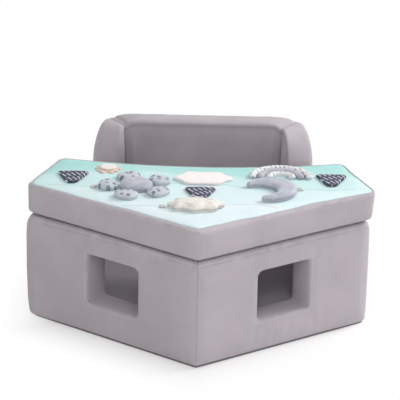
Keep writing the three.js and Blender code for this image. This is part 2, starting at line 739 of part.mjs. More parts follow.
function pennant(number, place) {
  const group = new THREE.Group();
  const { width, length, point, corner, height } = PENNANT;
  const [wide, narrow, end] = [width / 2, point / 2, length / 2];
  const corners = [[-wide, end], [-narrow, -end], [narrow, -end], [wide, end]];
  const outline = roundedOutline(corners, corner, 4);
  const flap = mesh(`pennant_${number}`, puff(outline, height, FLAT_LEVELS), material(NAVY));
  flap.position.z = GAP;
  group.add(flap, ribbon(`pennant_ribbon_${number}`, 0, length / 2 + HINGE_GAP, 0));
  group.position.set(place[0], place[1], 0);
  return group;
}

const seat = new THREE.Group();
seat.add(buildBase(), buildMat());
seat.updateMatrixWorld(true);
const footprint = new THREE.Box3().setFromObject(seat);
const middle = footprint.getCenter(new THREE.Vector3());
seat.position.set(-middle.x, -middle.y, -footprint.min.z);

export default seat;
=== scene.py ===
# %% [markdown]
# # A soft floor seat with a padded play table
# The seat is a ring of five foam walls in sewn grey covers, with a pad on its floor. A thick table mat lies on
# the walls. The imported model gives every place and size, so the scene only dresses it. The model is loaded
# first, and the box that it fills is kept, because the dressed seat may hardly grow beyond it.

import math

import bmesh
import bpy
import numpy as np
from mathutils import Matrix, Vector, noise
from mathutils.bvhtree import BVHTree
from mathutils.kdtree import KDTree


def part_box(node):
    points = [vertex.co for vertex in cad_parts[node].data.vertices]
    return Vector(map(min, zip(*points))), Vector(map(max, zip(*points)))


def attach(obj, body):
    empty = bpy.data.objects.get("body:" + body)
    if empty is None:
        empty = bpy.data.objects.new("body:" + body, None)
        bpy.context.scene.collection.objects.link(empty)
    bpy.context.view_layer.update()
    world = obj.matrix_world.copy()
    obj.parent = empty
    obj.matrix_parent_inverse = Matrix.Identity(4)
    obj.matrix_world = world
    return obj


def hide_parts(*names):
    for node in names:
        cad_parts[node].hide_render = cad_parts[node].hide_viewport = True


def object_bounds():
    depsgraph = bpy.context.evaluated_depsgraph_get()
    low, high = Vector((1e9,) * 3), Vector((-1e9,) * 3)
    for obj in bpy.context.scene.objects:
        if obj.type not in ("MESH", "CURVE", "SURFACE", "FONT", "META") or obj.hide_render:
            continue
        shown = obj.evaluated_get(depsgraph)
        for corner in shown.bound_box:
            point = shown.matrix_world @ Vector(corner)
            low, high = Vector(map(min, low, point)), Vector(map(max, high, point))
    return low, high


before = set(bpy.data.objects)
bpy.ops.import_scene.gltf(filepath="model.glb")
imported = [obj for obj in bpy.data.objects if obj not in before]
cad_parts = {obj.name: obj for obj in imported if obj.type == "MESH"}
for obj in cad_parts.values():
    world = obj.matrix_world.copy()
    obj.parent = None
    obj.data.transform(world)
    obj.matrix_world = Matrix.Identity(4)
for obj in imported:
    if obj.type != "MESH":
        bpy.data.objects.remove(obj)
scene = bpy.context.scene
scene.view_settings.view_transform = "Standard"
cad_box = [list(map(float, corner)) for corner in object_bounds()]


def add_object(name, data):
    thing = bpy.data.objects.new(name, data)
    scene.collection.objects.link(thing)
    return thing


print("model's box", [[round(x, 4) for x in corner] for corner in cad_box])

# %% [markdown]
# ## The camera
# The photograph was taken with a long lens, a little above the table and almost in line with the front corner.
# The angle, distance and lens were worked out from the corners of the walls and of the mat. The camera aims a
# degree above the seat's middle, so the seat sits low in the picture and no lens shift is needed.

# %% Camera
AIM = Vector((0, -0.00772, 0.120))
AZIMUTH, ELEVATION, ROLL, LIFT = (math.radians(angle) for angle in (0.61, 21.3, 1.05, 1.0017))
DISTANCE, LENS = 4.0575, 210.83


def add_camera():
    back = Vector((math.sin(AZIMUTH) * math.cos(ELEVATION), -math.cos(AZIMUTH) * math.cos(ELEVATION),
                   math.sin(ELEVATION)))
    level = back.cross(Vector((0, 0, -1))).normalized()
    right = Matrix.Rotation(ROLL, 3, back) @ level
    place = AIM + back * DISTANCE
    back = Matrix.Rotation(LIFT, 3, right) @ back
    axes = Matrix((right, back.cross(right), back)).transposed()
    camera = add_object("camera", bpy.data.cameras.new("camera"))
    camera.data.lens, camera.data.sensor_width, camera.data.clip_end = LENS, 36, 40
    camera.matrix_world = Matrix.Translation(place) @ axes.to_4x4()
    scene.camera = camera
    return camera


print("camera at", [round(x, 3) for x in add_camera().location])

# %% [markdown]
# ## Shader maths
# A woven cloth or a printed pattern is a sum written on coordinates. One small class wraps a shader socket, so
# that the sum reads as Python and adds its Math nodes by itself. A finish gathers the nodes of one material.
# Colours go through Mix nodes, and a sheen or any other plain number is set on the shader's own socket.

# %% Shader maths
class Value:
    """A shader value that can be used in a sum with numbers and other values."""

    def __init__(self, finish, socket):
        self.finish, self.socket = finish, socket

    def maths(self, operation, *terms):
        return self.finish.node("Math", {"operation": operation}, *terms)

    def __add__(self, other):
        return self.maths("ADD", self, other)

    def __sub__(self, other):
        return self.maths("SUBTRACT", self, other)

    def __mul__(self, other):
        return self.maths("MULTIPLY", self, other)

    def __pow__(self, other):
        return self.maths("POWER", self, other)

    __radd__, __rmul__ = __add__, __mul__

    def wave(self):
        return self.maths("SINE", self)

    def size(self):
        return self.maths("ABSOLUTE", self)

    def ramp(self, low, high, start=0.0, end=1.0):
        """The value taken from the range low to high over to start to end, with soft ends."""
        return self.finish.node("MapRange", {"interpolation_type": "SMOOTHSTEP"}, self, low, high, start, end)


def ink(code):
    """A colour as it is seen on screen, such as b3acb1, in the shader's own scale."""
    parts = [int(code[i:i + 2], 16) / 255 for i in (0, 2, 4)]
    return (*[x / 12.92 if x <= 0.04045 else ((x + 0.055) / 1.055) ** 2.4 for x in parts], 1)


class Finish:
    """One material. Plain numbers are set on its shader, and the rest comes through its nodes."""

    def __init__(self, name, **plain):
        self.material = bpy.data.materials.new(name)
        self.material.use_nodes = True
        self.tree = self.material.node_tree
        self.shader = self.tree.nodes["Principled BSDF"]
        for socket, value in plain.items():
            self.feed(self.shader.inputs[socket.replace("_", " ")], value)

    def feed(self, socket, value):
        if isinstance(value, Value):
            self.tree.links.new(value.socket, socket)
        elif value is not None:
            socket.default_value = value

    def node(self, kind, settings=None, *inputs, out=0, **named):
        node = self.tree.nodes.new("ShaderNode" + kind)
        for key, value in (settings or {}).items():
            setattr(node, key, value)
        for slot, value in [*enumerate(inputs), *named.items()]:
            self.feed(node.inputs[slot], value)
        return Value(self, node.outputs[out])

    def axes(self, vector):
        node = self.node("SeparateXYZ", None, vector)
        return [Value(self, socket) for socket in node.socket.node.outputs]

    def place(self):
        """Where the point is on the object, in metres"""
        return self.node("TexCoord", out="Object")

    def cloth(self):
        """Where the point is on the flat cloth, in metres"""
        return self.node("UVMap", {"uv_map": "cloth"})

    def mark(self, name):
        """A number that the piece carries at each point"""
        return self.node("Attribute", {"attribute_name": name}, out="Fac")

    def cloud(self, at, scale, detail=2.0, roughness=0.5):
        return self.node("TexNoise", None, Vector=at, Scale=scale, Detail=detail, Roughness=roughness)

    def mix(self, share, first, second):
        return self.node("Mix", {"data_type": "RGBA"}, share, None, None, None, None, None, first, second, out=2)

    def done(self, colour, roughness=None, height=None, depth=0.0004):
        self.feed(self.shader.inputs["Base Color"], colour)
        self.feed(self.shader.inputs["Roughness"], roughness)
        if height is not None:
            bump = self.node("Bump", None, Distance=depth, Height=height)
            self.feed(self.shader.inputs["Normal"], bump)
        return self.material


print("a colour in the shader's scale:", [round(x, 3) for x in ink("b3acb1")])

# %% [markdown]
# ## Floor and light
# The photograph has a white floor and background, and a soft grey shadow that keeps close to the walls. So the
# floor is a plain pale plane that shows its shadow for a hand's width round the five walls and goes over to
# white further out. How far out a point is comes from its greatest distance along the five walls' headings.
# One large lamp stands to the right and behind, a weak one in front fills the backrest, and the white room
# gives the rest. So the right side is the brightest and the left front wall the darkest.

# %% Floor and light
FLOOR_R, ROOM_LEVEL = 9.0, 0.60
MIDDLE_Y, WALL_OUT, SHADOW_REACH, FLOOR_GLOW = 0.0251, 0.245, 0.105, 0.34
WALL_HEADINGS = np.radians([18, 90, 162, 234, 306])


def floor_finish():
    """White, with a shadow that stays close to the five walls"""
    finish = Finish("floor", Roughness=0.45, Specular_IOR_Level=0.25)
    x, y, _ = finish.axes(finish.place())
    y -= MIDDLE_Y
    out = x.size()
    for angle in WALL_HEADINGS:
        out = out.maths("MAXIMUM", out, x * math.cos(angle) + y * math.sin(angle))
    far = out.ramp(WALL_OUT, WALL_OUT + SHADOW_REACH) ** 0.5
    finish.feed(finish.shader.inputs["Base Color"], ink("f4f2f3"))
    white = finish.node("Emission", None, Color=(1, 1, 1, 1), Strength=1.0)
    seen = finish.node("LightPath", out="Is Camera Ray")
    gloss = finish.node("LightPath", out="Is Glossy Ray")
    share = (far * (1 - FLOOR_GLOW) + FLOOR_GLOW) * (seen + gloss)
    end = finish.tree.nodes["Material Output"]
    mixed = finish.node("MixShader", None, share, Value(finish, finish.shader.outputs[0]), white)
    finish.tree.links.new(mixed.socket, end.inputs["Surface"])
    return finish.material


def add_floor():
    mesh = bpy.data.meshes.new("floor")
    edge = [(FLOOR_R * math.cos(a), FLOOR_R * math.sin(a), -0.0002) for a in np.linspace(0, math.tau, 65)[:-1]]
    mesh.from_pydata(edge, [], [list(range(64))])
    floor = add_object("floor", mesh)
    floor.data.materials.append(floor_finish())


def add_room(level):
    world = bpy.data.worlds.new("room")
    scene.world = world
    world.use_nodes = True
    nodes, links = world.node_tree.nodes, world.node_tree.links
    shade = nodes["Background"]
    shade.inputs["Color"].default_value = (1.0, 0.985, 0.99, 1)
    path = nodes.new("ShaderNodeLightPath")
    both = nodes.new("ShaderNodeMath")
    both.operation = "MAXIMUM"
    links.new(path.outputs["Is Camera Ray"], both.inputs[0])
    links.new(path.outputs["Is Glossy Ray"], both.inputs[1])
    strength = nodes.new("ShaderNodeMapRange")
    links.new(both.outputs[0], strength.inputs["Value"])
    strength.inputs["To Min"].default_value = level
    strength.inputs["To Max"].default_value = 1.0
    links.new(strength.outputs[0], shade.inputs["Strength"])


def add_lamp(name, place, size, power):
    lamp = add_object(name, bpy.data.lights.new(name, "AREA"))
    lamp.data.shape, lamp.data.size, lamp.data.energy = "DISK", size, power
    lamp.location = place
    lamp.rotation_euler = (Vector((0, 0, 0.12)) - Vector(place)).to_track_quat("-Z", "Y").to_euler()


add_floor()
add_room(ROOM_LEVEL)
add_lamp("key", (2.6, 1.5, 2.2), 1.9, 108)
add_lamp("fill", (0.3, -3.2, 2.2), 2.6, 36)

# %% [markdown]
# ## Grey cover cloth
# The walls and the mat's band are a smooth, slightly brushed polyester in a warm grey. Close up it is a fine
# plain weave: sine waves along the two thread directions of the flat cloth give the over and under. A slow
# mottle keeps large faces from looking like paint, seams hold a little dust and shade, and folded edges are
# rubbed paler. A little sheen gives the soft light edge that brushed cloth has.

# %% Woven cloth
def woven(finish, pitch, slub=0.25):
    """Height of a plain weave from -1 to 1, its threads a little uneven"""
    u, v, _ = finish.axes(finish.cloth())
    uneven = finish.cloud(finish.cloth(), 260, 2) - 0.5
    warp = (u * (math.tau / pitch) + uneven * 2.2).wave()
    weft = (v * (math.tau / pitch) + uneven * 2.2).wave()
    return warp * weft * (1 - slub) + uneven * (slub * 2)


def cover_finish(name, colour, shade, worn, pitch=0.0009, sheen=0.22):
    finish = Finish(name, Sheen_Weight=sheen, Sheen_Roughness=0.5, Specular_IOR_Level=0.22)
    threads = woven(finish, pitch)
    mottle = finish.cloud(finish.place(), 14, 4, 0.6)
    slow = finish.cloud(finish.place(), 4.5, 2, 0.5)
    tone = finish.mix((mottle * 0.6 + slow * 0.4).ramp(0.34, 0.68), ink(shade), ink(colour))
    # The low places of the weave, between the threads, are painted a little darker: painted shade in the weave's
    # valleys.
    tone = finish.mix(threads.ramp(-1, 0.4, 0.14, 0.0), tone, ink(shade))
    seams = finish.mark("seam").ramp(0.35, 1.0, 0.0, 0.42)
    tone = finish.mix(seams, tone, finish.mix(0.5, ink(shade), ink("6f696e")))
    rubbed = finish.mark("edge") * finish.cloud(finish.place(), 55, 3).ramp(0.35, 0.75) * 0.5
    tone = finish.mix(rubbed, tone, ink(worn))
    creases = finish.cloud(finish.place(), 38, 3, 0.55)
    return finish.done(tone, mottle.ramp(0.3, 0.7, 0.78, 0.92), threads * 0.5 + creases * 1.6, 0.00035)


GREY = cover_finish("grey cloth", "beb7bd", "b2abb1", "ccc7cc")
# The pad's cloth is a little darker than the walls': partly a guess that it is a darker cloth, partly painted shade
# for its place low inside the seat.
LINING_WITH_PAINTED_SHADE = cover_finish("lining cloth with painted shade", "a49da2", "968f95", "b1abaf", pitch=0.0011, sheen=0.15)
print("woven finishes", GREY.name, LINING_WITH_PAINTED_SHADE.name)

# %% [markdown]
# ## Printed top
# The top is nursery cotton, printed in pale, cool colours. The print is a sky of soft rolling bands: teal at the
# rear, then aqua, then a blue so pale that it is nearly white at the front. The band edges are slow waves, with
# a paler line along each, and a few loose dots lie between them.

# %% Printed cotton
BANDS = [(-0.158, 0.010, 24, 0.4, "d9eeef"), (-0.083, 0.013, 17, 2.1, "c8e8e7"), (-0.018, 0.011, 21, 4.0, "a2dad5")]


def print_finish():
    finish = Finish("printed cotton", Sheen_Weight=0.12, Specular_IOR_Level=0.25)
    x, y, _ = finish.axes(finish.place())
    wash = finish.cloud(finish.place(), 22, 5, 0.65)
    fine = finish.cloud(finish.place(), 90, 3, 0.6)
    tone = finish.mix(wash.ramp(0.35, 0.7), ink("e6f3f6"), ink("dceff3"))
    for start, swing, turns, shift, colour in BANDS:
        hill = (x * turns + shift).wave() * swing + (x * (turns * 2.7) + shift * 3).wave() * (swing * 0.3)
        behind = y - hill - start + (fine - 0.5) * 0.0016
        fade = behind.ramp(0.0, 0.055, 0.62, 1.0)
        inside = behind.ramp(-0.0005, 0.0007)
        tone = finish.mix(inside * fade * wash.ramp(0.2, 0.8, 0.86, 1.0), tone, ink(colour))
        line = (behind - 0.0042).size().ramp(0.0003, 0.0010, 0.75, 0.0)
        tone = finish.mix(line, tone, ink("f1f8f8"))
    spots = finish.node("TexVoronoi", {"feature": "F1"}, Vector=finish.place(), Scale=52, Randomness=0.8)
    few = finish.cloud(finish.place(), 9, 1).ramp(0.55, 0.62)
    tone = finish.mix(spots.ramp(0.10, 0.13, 0.7, 0.0) * few * 0.8, tone, ink("f4fafa"))
    seams = finish.mark("seam").ramp(0.35, 1.0, 0.0, 0.35)
    tone = finish.mix(seams, tone, ink("7f9a9c"))
    threads = woven(finish, 0.0008)
    ripples = finish.cloud(finish.place(), 30, 3, 0.5)
    return finish.done(tone, fine.ramp(0.3, 0.7, 0.62, 0.78), threads * 0.4 + ripples * 1.8, 0.0003)


PRINT = print_finish()
print("print bands", len(BANDS))

# %% [markdown]
# ## Plush, cotton and felt
# Plush is a short dense pile. At this size the pile is a rough, speckled surface with a strong sheen, and strokes
# of pile that lie the other way look a little darker. The flat patches are plain or printed cotton, with the
# pattern drawn on the flat cloth.

# %% Soft toy finishes
def plush_finish(name, colour, shade):
    finish = Finish(name, Sheen_Weight=0.45, Sheen_Roughness=0.4, Specular_IOR_Level=0.1)
    pile = finish.cloud(finish.place(), 900, 3, 0.7)
    strokes = finish.cloud(finish.place(), 70, 3, 0.6)
    tone = finish.mix(strokes.ramp(0.38, 0.62), ink(shade), ink(colour))
    tone = finish.mix(pile.ramp(0.3, 0.6, 0.35, 0.0), tone, ink(shade))
    # Darker along the seam that holds the two layers: painted shade in the crease where the layers meet.
    tone = finish.mix(finish.mark("seam").ramp(0.3, 1.0, 0.0, 0.45), tone, ink("77777f"))
    return finish.done(tone, strokes.ramp(0.3, 0.7, 0.9, 1.0), pile + strokes * 0.8, 0.0008)


def cotton_finish(name, colour, pattern=None, ink_code="ffffff", pitch=0.0007):
    """Plain cotton, with a pattern printed on it where pattern gives a share of ink"""
    finish = Finish(name, Sheen_Weight=0.12, Specular_IOR_Level=0.2)
    threads = woven(finish, pitch)
    fine = finish.cloud(finish.place(), 120, 3, 0.6)
    tone = finish.mix(fine.ramp(0.3, 0.7, 0.0, 0.10), ink(colour), ink("a5a5aa"))
    if pattern:
        tone = finish.mix(pattern(finish) * fine.ramp(0.2, 0.5, 0.75, 1.0), tone, ink(ink_code))
    # Darker along the sewn seam: painted shade in the crease where the cloth turns in.
    tone = finish.mix(finish.mark("seam").ramp(0.3, 1.0, 0.0, 0.25), tone, ink("6d6c74"))
    return finish.done(tone, fine.ramp(0.3, 0.7, 0.75, 0.9), threads * 0.5 + fine, 0.0003)


def spots(finish):
    """Uneven round spots, like a printed dot cloth"""
    wobble = finish.cloud(finish.place(), 60, 2) - 0.5
    cell = finish.node("TexVoronoi", {"voronoi_dimensions": "2D"}, Vector=finish.place(), Scale=82, Randomness=0.7)
    return (cell + wobble * 0.22).ramp(0.26, 0.30, 0.9, 0.0)


def ticking(finish):
    """Short dashes across the cloth, in rows"""
    x, y, _ = finish.axes(finish.place())
    wobble = (finish.cloud(finish.place(), 45, 2) - 0.5) * 3
    dashes = (x * 820 + y * 260 + wobble).wave().ramp(0.55, 0.8)
    return dashes * (y * 500 + wobble).wave().ramp(-0.2, 0.2) * 0.9


def stripes(finish):
    """Thin hand-drawn stripes that lean to one side"""
    x, y, _ = finish.axes(finish.place())
    wobble = (finish.cloud(finish.place(), 35, 2) - 0.5) * 2.2
    lines = (x * 640 + y * 420 + wobble).wave().ramp(0.72, 0.88)
    return lines * (y * 300 - x * 120 + wobble * 2).wave().ramp(-0.75, -0.5)


LOOKS = {
    "grey_fabric": GREY, "lining_fabric": LINING_WITH_PAINTED_SHADE, "print_fabric": PRINT,
    "grey_plush": plush_finish("grey plush", "c6c8d3", "b4b6c3"),
    "cream_plush": plush_finish("cream plush", "f2efe9", "e2ddd4"),
    "flower_plain": plush_finish("slate velour", "bcbeca", "a9acba"),
    "flower_dots": cotton_finish("spotted cotton", "cdd3da", spots, "777f8f"),
    "rainbow_white": cotton_finish("ticking cotton", "f0eff0", ticking, "8d8e9c"),
    "rainbow_grey": plush_finish("pale grey plush", "c2c2cc", "b0b0bb"),
    "pale_fabric": cotton_finish("pale linen", "f8f3f1", pitch=0.0011),
    "peach_fabric": cotton_finish("peach felt", "efc9b2", pitch=0.0013),
    "white_fabric": cotton_finish("white cotton", "f4f2ee"),
    "navy_fabric": cotton_finish("navy cotton", "2c3252", stripes, "e8eaf2"),
}
print("soft toy finishes", len(LOOKS))

# %% [markdown]
# ## Foam, tape and metal
# The last finishes are for what holds the seat together: the open foam inside the covers, which is a guess and
# grey as the cloth is, hook tape, loop tape, ribbon, zips with their nylon coil and plated slider, and the
# rubbery cloth under the base.

# %% Finishes of the small parts
def plain_finish(name, colour, shade, scale, depth, rough=(0.7, 0.9), **plain):
    finish = Finish(name, **plain)
    grain = finish.cloud(finish.place(), scale, 4, 0.65)
    slow = finish.cloud(finish.place(), scale / 12, 2)
    tone = finish.mix((grain * 0.6 + slow * 0.4).ramp(0.35, 0.65), ink(shade), ink(colour))
    return finish.done(tone, grain.ramp(0.3, 0.7, *rough), grain, depth)


def foam_finish():
    finish = Finish("open foam", Specular_IOR_Level=0.2)
    cells = finish.node("TexVoronoi", {"feature": "F1"}, Vector=finish.place(), Scale=700, Randomness=1.0)
    tone = finish.mix(cells.ramp(0.1, 0.6), ink("a9a2a7"), ink("bdb6ba"))
    return finish.done(tone, cells.ramp(0.1, 0.6, 0.85, 0.97), cells, 0.0006)


def ribbed_finish(name, colour, shade, pitch, rough=(0.6, 0.8), sheen=0.1):
    """A narrow woven tape: ribs across it and a firm edge"""
    finish = Finish(name, Sheen_Weight=sheen, Specular_IOR_Level=0.3)
    u, v, _ = finish.axes(finish.cloth())
    fine = finish.cloud(finish.place(), 400, 3, 0.6)
    ribs = (u * (math.tau / pitch) + (v * (math.pi / pitch)).wave() * 0.7).wave()
    tone = finish.mix((ribs * 0.4 + fine).ramp(0.1, 0.8), ink(shade), ink(colour))
    return finish.done(tone, fine.ramp(0.3, 0.7, *rough), ribs * 0.6 + fine * 0.6, 0.0003)


def metal_finish():
    finish = Finish("plated metal", Metallic=1.0)
    brushed = finish.cloud(finish.node("Mapping", None, finish.place(), None, None, (3000, 250, 250)), 1.0, 3, 0.6)
    worn = finish.cloud(finish.place(), 420, 3, 0.6)
    tone = finish.mix(worn.ramp(0.35, 0.7), ink("9c9ca1"), ink("c9c9cd"))
    return finish.done(tone, (brushed * 0.5 + worn * 0.5).ramp(0.3, 0.7, 0.24, 0.44), brushed, 0.00005)


LOOKS |= {
    "foam": foam_finish(),
    "non_slip_fabric": plain_finish("rubbery cloth", "6f6a6e", "5c575c", 600, 0.0003, (0.55, 0.75)),
    "grip": plain_finish("grip dots", "5f5b60", "545056", 900, 0.0001, (0.35, 0.5)),
    "hook_tape": ribbed_finish("hook tape", "85808a", "706b75", 0.0012),
    "loop_tape": plush_finish("loop tape", "9b969f", "837e88"),
    "zip_tape": ribbed_finish("zip tape", "9a949a", "868087", 0.0010),
    "zip_coil": plain_finish("nylon coil", "8f898f", "7c767c", 500, 0.00008, (0.3, 0.5)),
    "zip_metal": metal_finish(),
    "ribbon": ribbed_finish("satin ribbon", "e4e1e4", "cfcbd0", 0.0006, (0.3, 0.5), sheen=0.3),
    "thread": plain_finish("sewing thread", "cdc6cc", "b9b2b8", 1500, 0.0001, (0.5, 0.7)),
    "pale thread": plain_finish("pale thread", "f1efec", "ddd9d5", 1500, 0.0001, (0.5, 0.7)),
    "slate thread": plain_finish("slate thread", "8e97a8", "7b8496", 1500, 0.0001, (0.5, 0.7)),
}


def assign(piece, body, slot, *nodes):
    """Gives a piece the finish of its slot, hangs it on the body that it rides on, and hides the nodes that it stands
    for
    """
    piece.data.materials.clear()
    piece.data.materials.append(LOOKS[slot])
    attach(piece, body)
    if nodes:
        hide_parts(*nodes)
    return piece


def assign_padded(piece, body, slot, node):
    assign(piece, body, slot, node)
    return piece


for name in ("floor_foam", "front_right_foam", "side_right_foam", "back_foam", "side_left_foam", "front_left_foam",
             "mat_foam"):
    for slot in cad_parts[name].material_slots:
        slot.material = LOOKS["foam"]
print("finishes", len(LOOKS))

# %% [markdown]
# ## The plan
# Seen from above the seat is a regular pentagon with one corner to the front. The corners are numbered from the
# front one, against the clock, and wall k runs from corner k to the next. The sizes are the model's own.

# %% Plan of the seat
SIDE, WALL = 0.356, 0.0508
TURN = math.tau / 5
CIRCUM = SIDE / (2 * math.sin(TURN / 2))
CENTRE = np.array([0.0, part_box("cover_back")[1].y - CIRCUM * math.cos(TURN / 2)])
WALL_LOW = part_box("cover_right")[0].z
BASE_TOP, WING_TOP, BACK_TOP = 0.1857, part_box("cover_right")[1].z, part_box("cover_back")[1].z
CORNER_R = [0.005, 0.018, 0.016, 0.016, 0.018]
INNER_R = 0.006


def heading(angle):
    return np.array([math.cos(angle), math.sin(angle)])


def corner_angle(k):
    return -math.pi / 2 + k * TURN


def corner_point(k, inset=0.0):
    return CENTRE + heading(corner_angle(k)) * (CIRCUM - inset / math.cos(TURN / 2))


def wall_axes(k):
    """The directions out of wall k and along it"""
    angle = corner_angle(k) + TURN / 2
    return heading(angle), heading(angle + math.pi / 2)


print("pentagon's centre", CENTRE.round(4), "reach of its corners", round(CIRCUM, 4))

# %% [markdown]
# ## Cloth as a grid
# A cover is cut from flat cloth, so its mesh is a grid that follows the cut: it bends cleanly, and a weave drawn
# on the cloth's own coordinates runs the right way round every edge. This helper gathers points and faces row by
# row, together with each point's place on the flat cloth.

# %% Cloth from rows of points
CORNER_REACH = 0.115


class Cloth:
    """Points and faces of one piece, with each face's place on the flat cloth."""

    def __init__(self):
        self.points, self.faces, self.flat = [], [], []

    def row(self, points):
        start = len(self.points)
        self.points.extend([tuple(map(float, p)) for p in points])
        return list(range(start, len(self.points)))

    def face(self, corners, flat):
        self.faces.append(tuple(corners))
        self.flat.append(flat)

    def band(self, low, high, u, v, closed=False, skip=()):
        """Faces between two rows. Their outer side is where along-the-row times low-to-high points."""
        count = len(low) if closed else len(low) - 1
        for i in range(count):
            if i in skip:
                continue
            j = (i + 1) % len(low)
            u_end = u[i + 1] if i + 1 < len(u) else u[i] + (u[i] - u[i - 1])
            self.face((low[i], low[j], high[j], high[i]),
                      ((u[i], v[0]), (u_end, v[0]), (u_end, v[1]), (u[i], v[1])))

    def bands(self, rows, u, closed=False, skips=None):
        """Faces between all rows that follow each other. Skips names the cells that a row leaves out."""
        v = lengths([self.points[row[0]] for row in rows])
        for j in range(len(rows) - 1):
            self.band(rows[j], rows[j + 1], u, v[j:j + 2], closed, (skips or {}).get(j, ()))

    def flat_face(self, corners, upward):
        """A face that is drawn on the cloth as it lies"""
        corners = corners if upward else corners[::-1]
        self.face(corners, [self.points[c][:2] for c in corners])

    def around(self, ring):
        """How far round a closed ring each of its points lies"""
        return lengths([self.points[i] for i in [*ring, ring[0]]])

    def piece(self, name, mirrored=False):
        points = np.array(self.points)
        faces, flat = self.faces, self.flat
        if mirrored:
            points = points * (-1, 1, 1)
            faces = [face[::-1] for face in faces]
            flat = [around[::-1] for around in flat]
        mesh = bpy.data.meshes.new(name)
        mesh.from_pydata(points.tolist(), [], faces)
        layer = mesh.uv_layers.new(name="cloth")
        layer.data.foreach_set("uv", np.array([uv for around in flat for uv in around]).ravel())
        mesh.shade_smooth()
        return add_object(name, mesh)


def places_of(piece):
    """The piece's points as an array"""
    places = np.empty(len(piece.data.vertices) * 3)
    piece.data.vertices.foreach_get("co", places)
    return places.reshape(-1, 3)


def put_places(piece, places):
    piece.data.vertices.foreach_set("co", np.asarray(places, float).ravel())
    piece.data.update()


def outward(piece):
    normals = np.empty(len(piece.data.vertices) * 3)
    piece.data.vertices.foreach_get("normal", normals)
    return normals.reshape(-1, 3)


def put_mark(piece, name, values):
    """Keeps a number at each point, which the finish can read"""
    layer = piece.data.attributes.new(name, "FLOAT", "POINT")
    layer.data.foreach_set("value", np.asarray(values, float))


def plain_marks(piece):
    """The marks of a piece that has no sewn seam and no rubbed edge"""
    for mark in ("seam", "edge"):
        put_mark(piece, mark, np.zeros(len(piece.data.vertices)))


def lengths(points):
    """How far along the row each point lies"""
    steps = np.linalg.norm(np.diff(np.asarray(points), axis=0), axis=1)
    return np.concatenate([[0], np.cumsum(steps)])


def fade_in(distance, width):
    """0 before a place and 1 from width behind it"""
    return np.clip(distance / width, 0, 1)


def at_height(flat, z):
    """Points of the plan, all at one height"""
    return np.column_stack([flat, np.full(len(flat), z)])


def soft_corner(places, corner, depth):
    """How far points near a corner of the plan stand out, where the foam is fuller than a straight cut"""
    near = np.hypot(*(places[:, :2] - corner_point(corner)).T)
    out = depth * (1 + np.cos(math.pi * fade_in(near, CORNER_REACH))) / 2
    return at_height(np.outer(out, heading(corner_angle(corner))), 0.0)


def z_span(node):
    """The lowest and highest z of a node of the model"""
    low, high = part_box(node)[:2]
    return low.z, high.z


print("helpers ready")

# %% [markdown]
# ## Tight cloth over foam
# A cover is sewn a little smaller than its foam, so the foam presses it out between the seams, and it puckers
# where the seam holds it. Blender's cloth does this: pressure stands for the foam, the sewn points are pinned, a
# cap keeps the cloth near the foam, and no point may move into it. The result is kept as plain points, and no
# cloth modifier stays.

# %% Cloth simulation
FRAMES = 20


def trial_of(piece, held):
    """A copy of the cloth for the simulation, without loose points or two points in one place"""
    mesh = piece.data.copy()
    work = bmesh.new()
    work.from_mesh(mesh)
    number = work.verts.layers.int.new("number")
    for point in work.verts:
        point[number] = point.index
    bmesh.ops.delete(work, geom=[point for point in work.verts if not point.link_faces], context="VERTS")
    bmesh.ops.remove_doubles(work, verts=work.verts, dist=1e-5)
    kept = [point[number] for point in work.verts]
    work.to_mesh(mesh)
    work.free()
    trial = add_object("trial", mesh)
    group = trial.vertex_groups.new(name="held")
    for place, point in enumerate(kept):
        if held[point] > 0:
            group.add([place], float(held[point]), "REPLACE")
    return trial, kept


def settle(trial, pressure, slack, stiff):
    """Runs the cloth and gives how far each of its points moved"""
    before = places_of(trial)
    rules = trial.modifiers.new("cloth", "CLOTH").settings
    rules.quality, rules.mass = 4, 0.2
    rules.tension_stiffness = rules.compression_stiffness = stiff
    rules.shear_stiffness, rules.bending_stiffness = stiff / 3, 0.4
    rules.use_pressure, rules.uniform_pressure_force = True, pressure
    rules.shrink_min = -slack
    rules.vertex_group_mass = "held"
    rules.effector_weights.gravity = 0
    for number in range(1, FRAMES + 1):
        scene.frame_set(number)
    after = np.empty(before.size)
    trial.evaluated_get(bpy.context.evaluated_depsgraph_get()).data.vertices.foreach_get("co", after)
    scene.frame_set(1)
    return after.reshape(-1, 3) - before


def press_out(piece, held, pressure, slack, reach, stiff=15.0):
    """Lets the cloth find its shape between the held points, and moves no point by more than its reach."""
    before, normals = places_of(piece), outward(piece)
    trial, kept = trial_of(piece, held)
    moved = settle(trial, pressure, slack, stiff)
    near = KDTree(len(kept))
    for i, point in enumerate(kept):
        near.insert(before[point], i)
    near.balance()
    move = np.array([moved[near.find(place)[1]] for place in before])
    move[held >= 1] = 0
    bpy.data.objects.remove(trial)
    move -= normals * np.minimum(0, np.sum(move * normals, axis=1))[:, None]
    size = np.linalg.norm(move, axis=1, keepdims=True)
    cap = np.asarray(reach, float).reshape(-1, 1) if np.ndim(reach) else reach
    move *= np.minimum(1, cap / np.maximum(size, 1e-9))
    put_places(piece, before + move)
    print(piece.name, "moved up to", round(float(size.max()) * 1000, 1), "mm before the cap")


def finish_cloth(piece, thickness, rounds=1):
    """One subdivision and the cloth's thickness, inward"""
    smooth = piece.modifiers.new("smooth", "SUBSURF")
    smooth.levels = smooth.render_levels = rounds
    if thickness:
        wall = piece.modifiers.new("thickness", "SOLIDIFY")
        wall.thickness, wall.offset = thickness, -1


print("cloth runs for", FRAMES, "frames")

# %% [markdown]
# ## Wall covers
# Each cover is a box of cloth: an outer panel, a strip over the top and an inner panel, sewn along both top
# edges. The grid runs along the wall in one direction and over it in the other. On a wing the strip turns
# forward and down, so the lines lean with the edge. The window is left out of the grid, and a short rim turns
# in round it. At the two side corners the foam is fuller than a straight cut, most at the left, so the covers
# are moved out there after they are pressed: less at the foot, and hardly at all on the top strip.

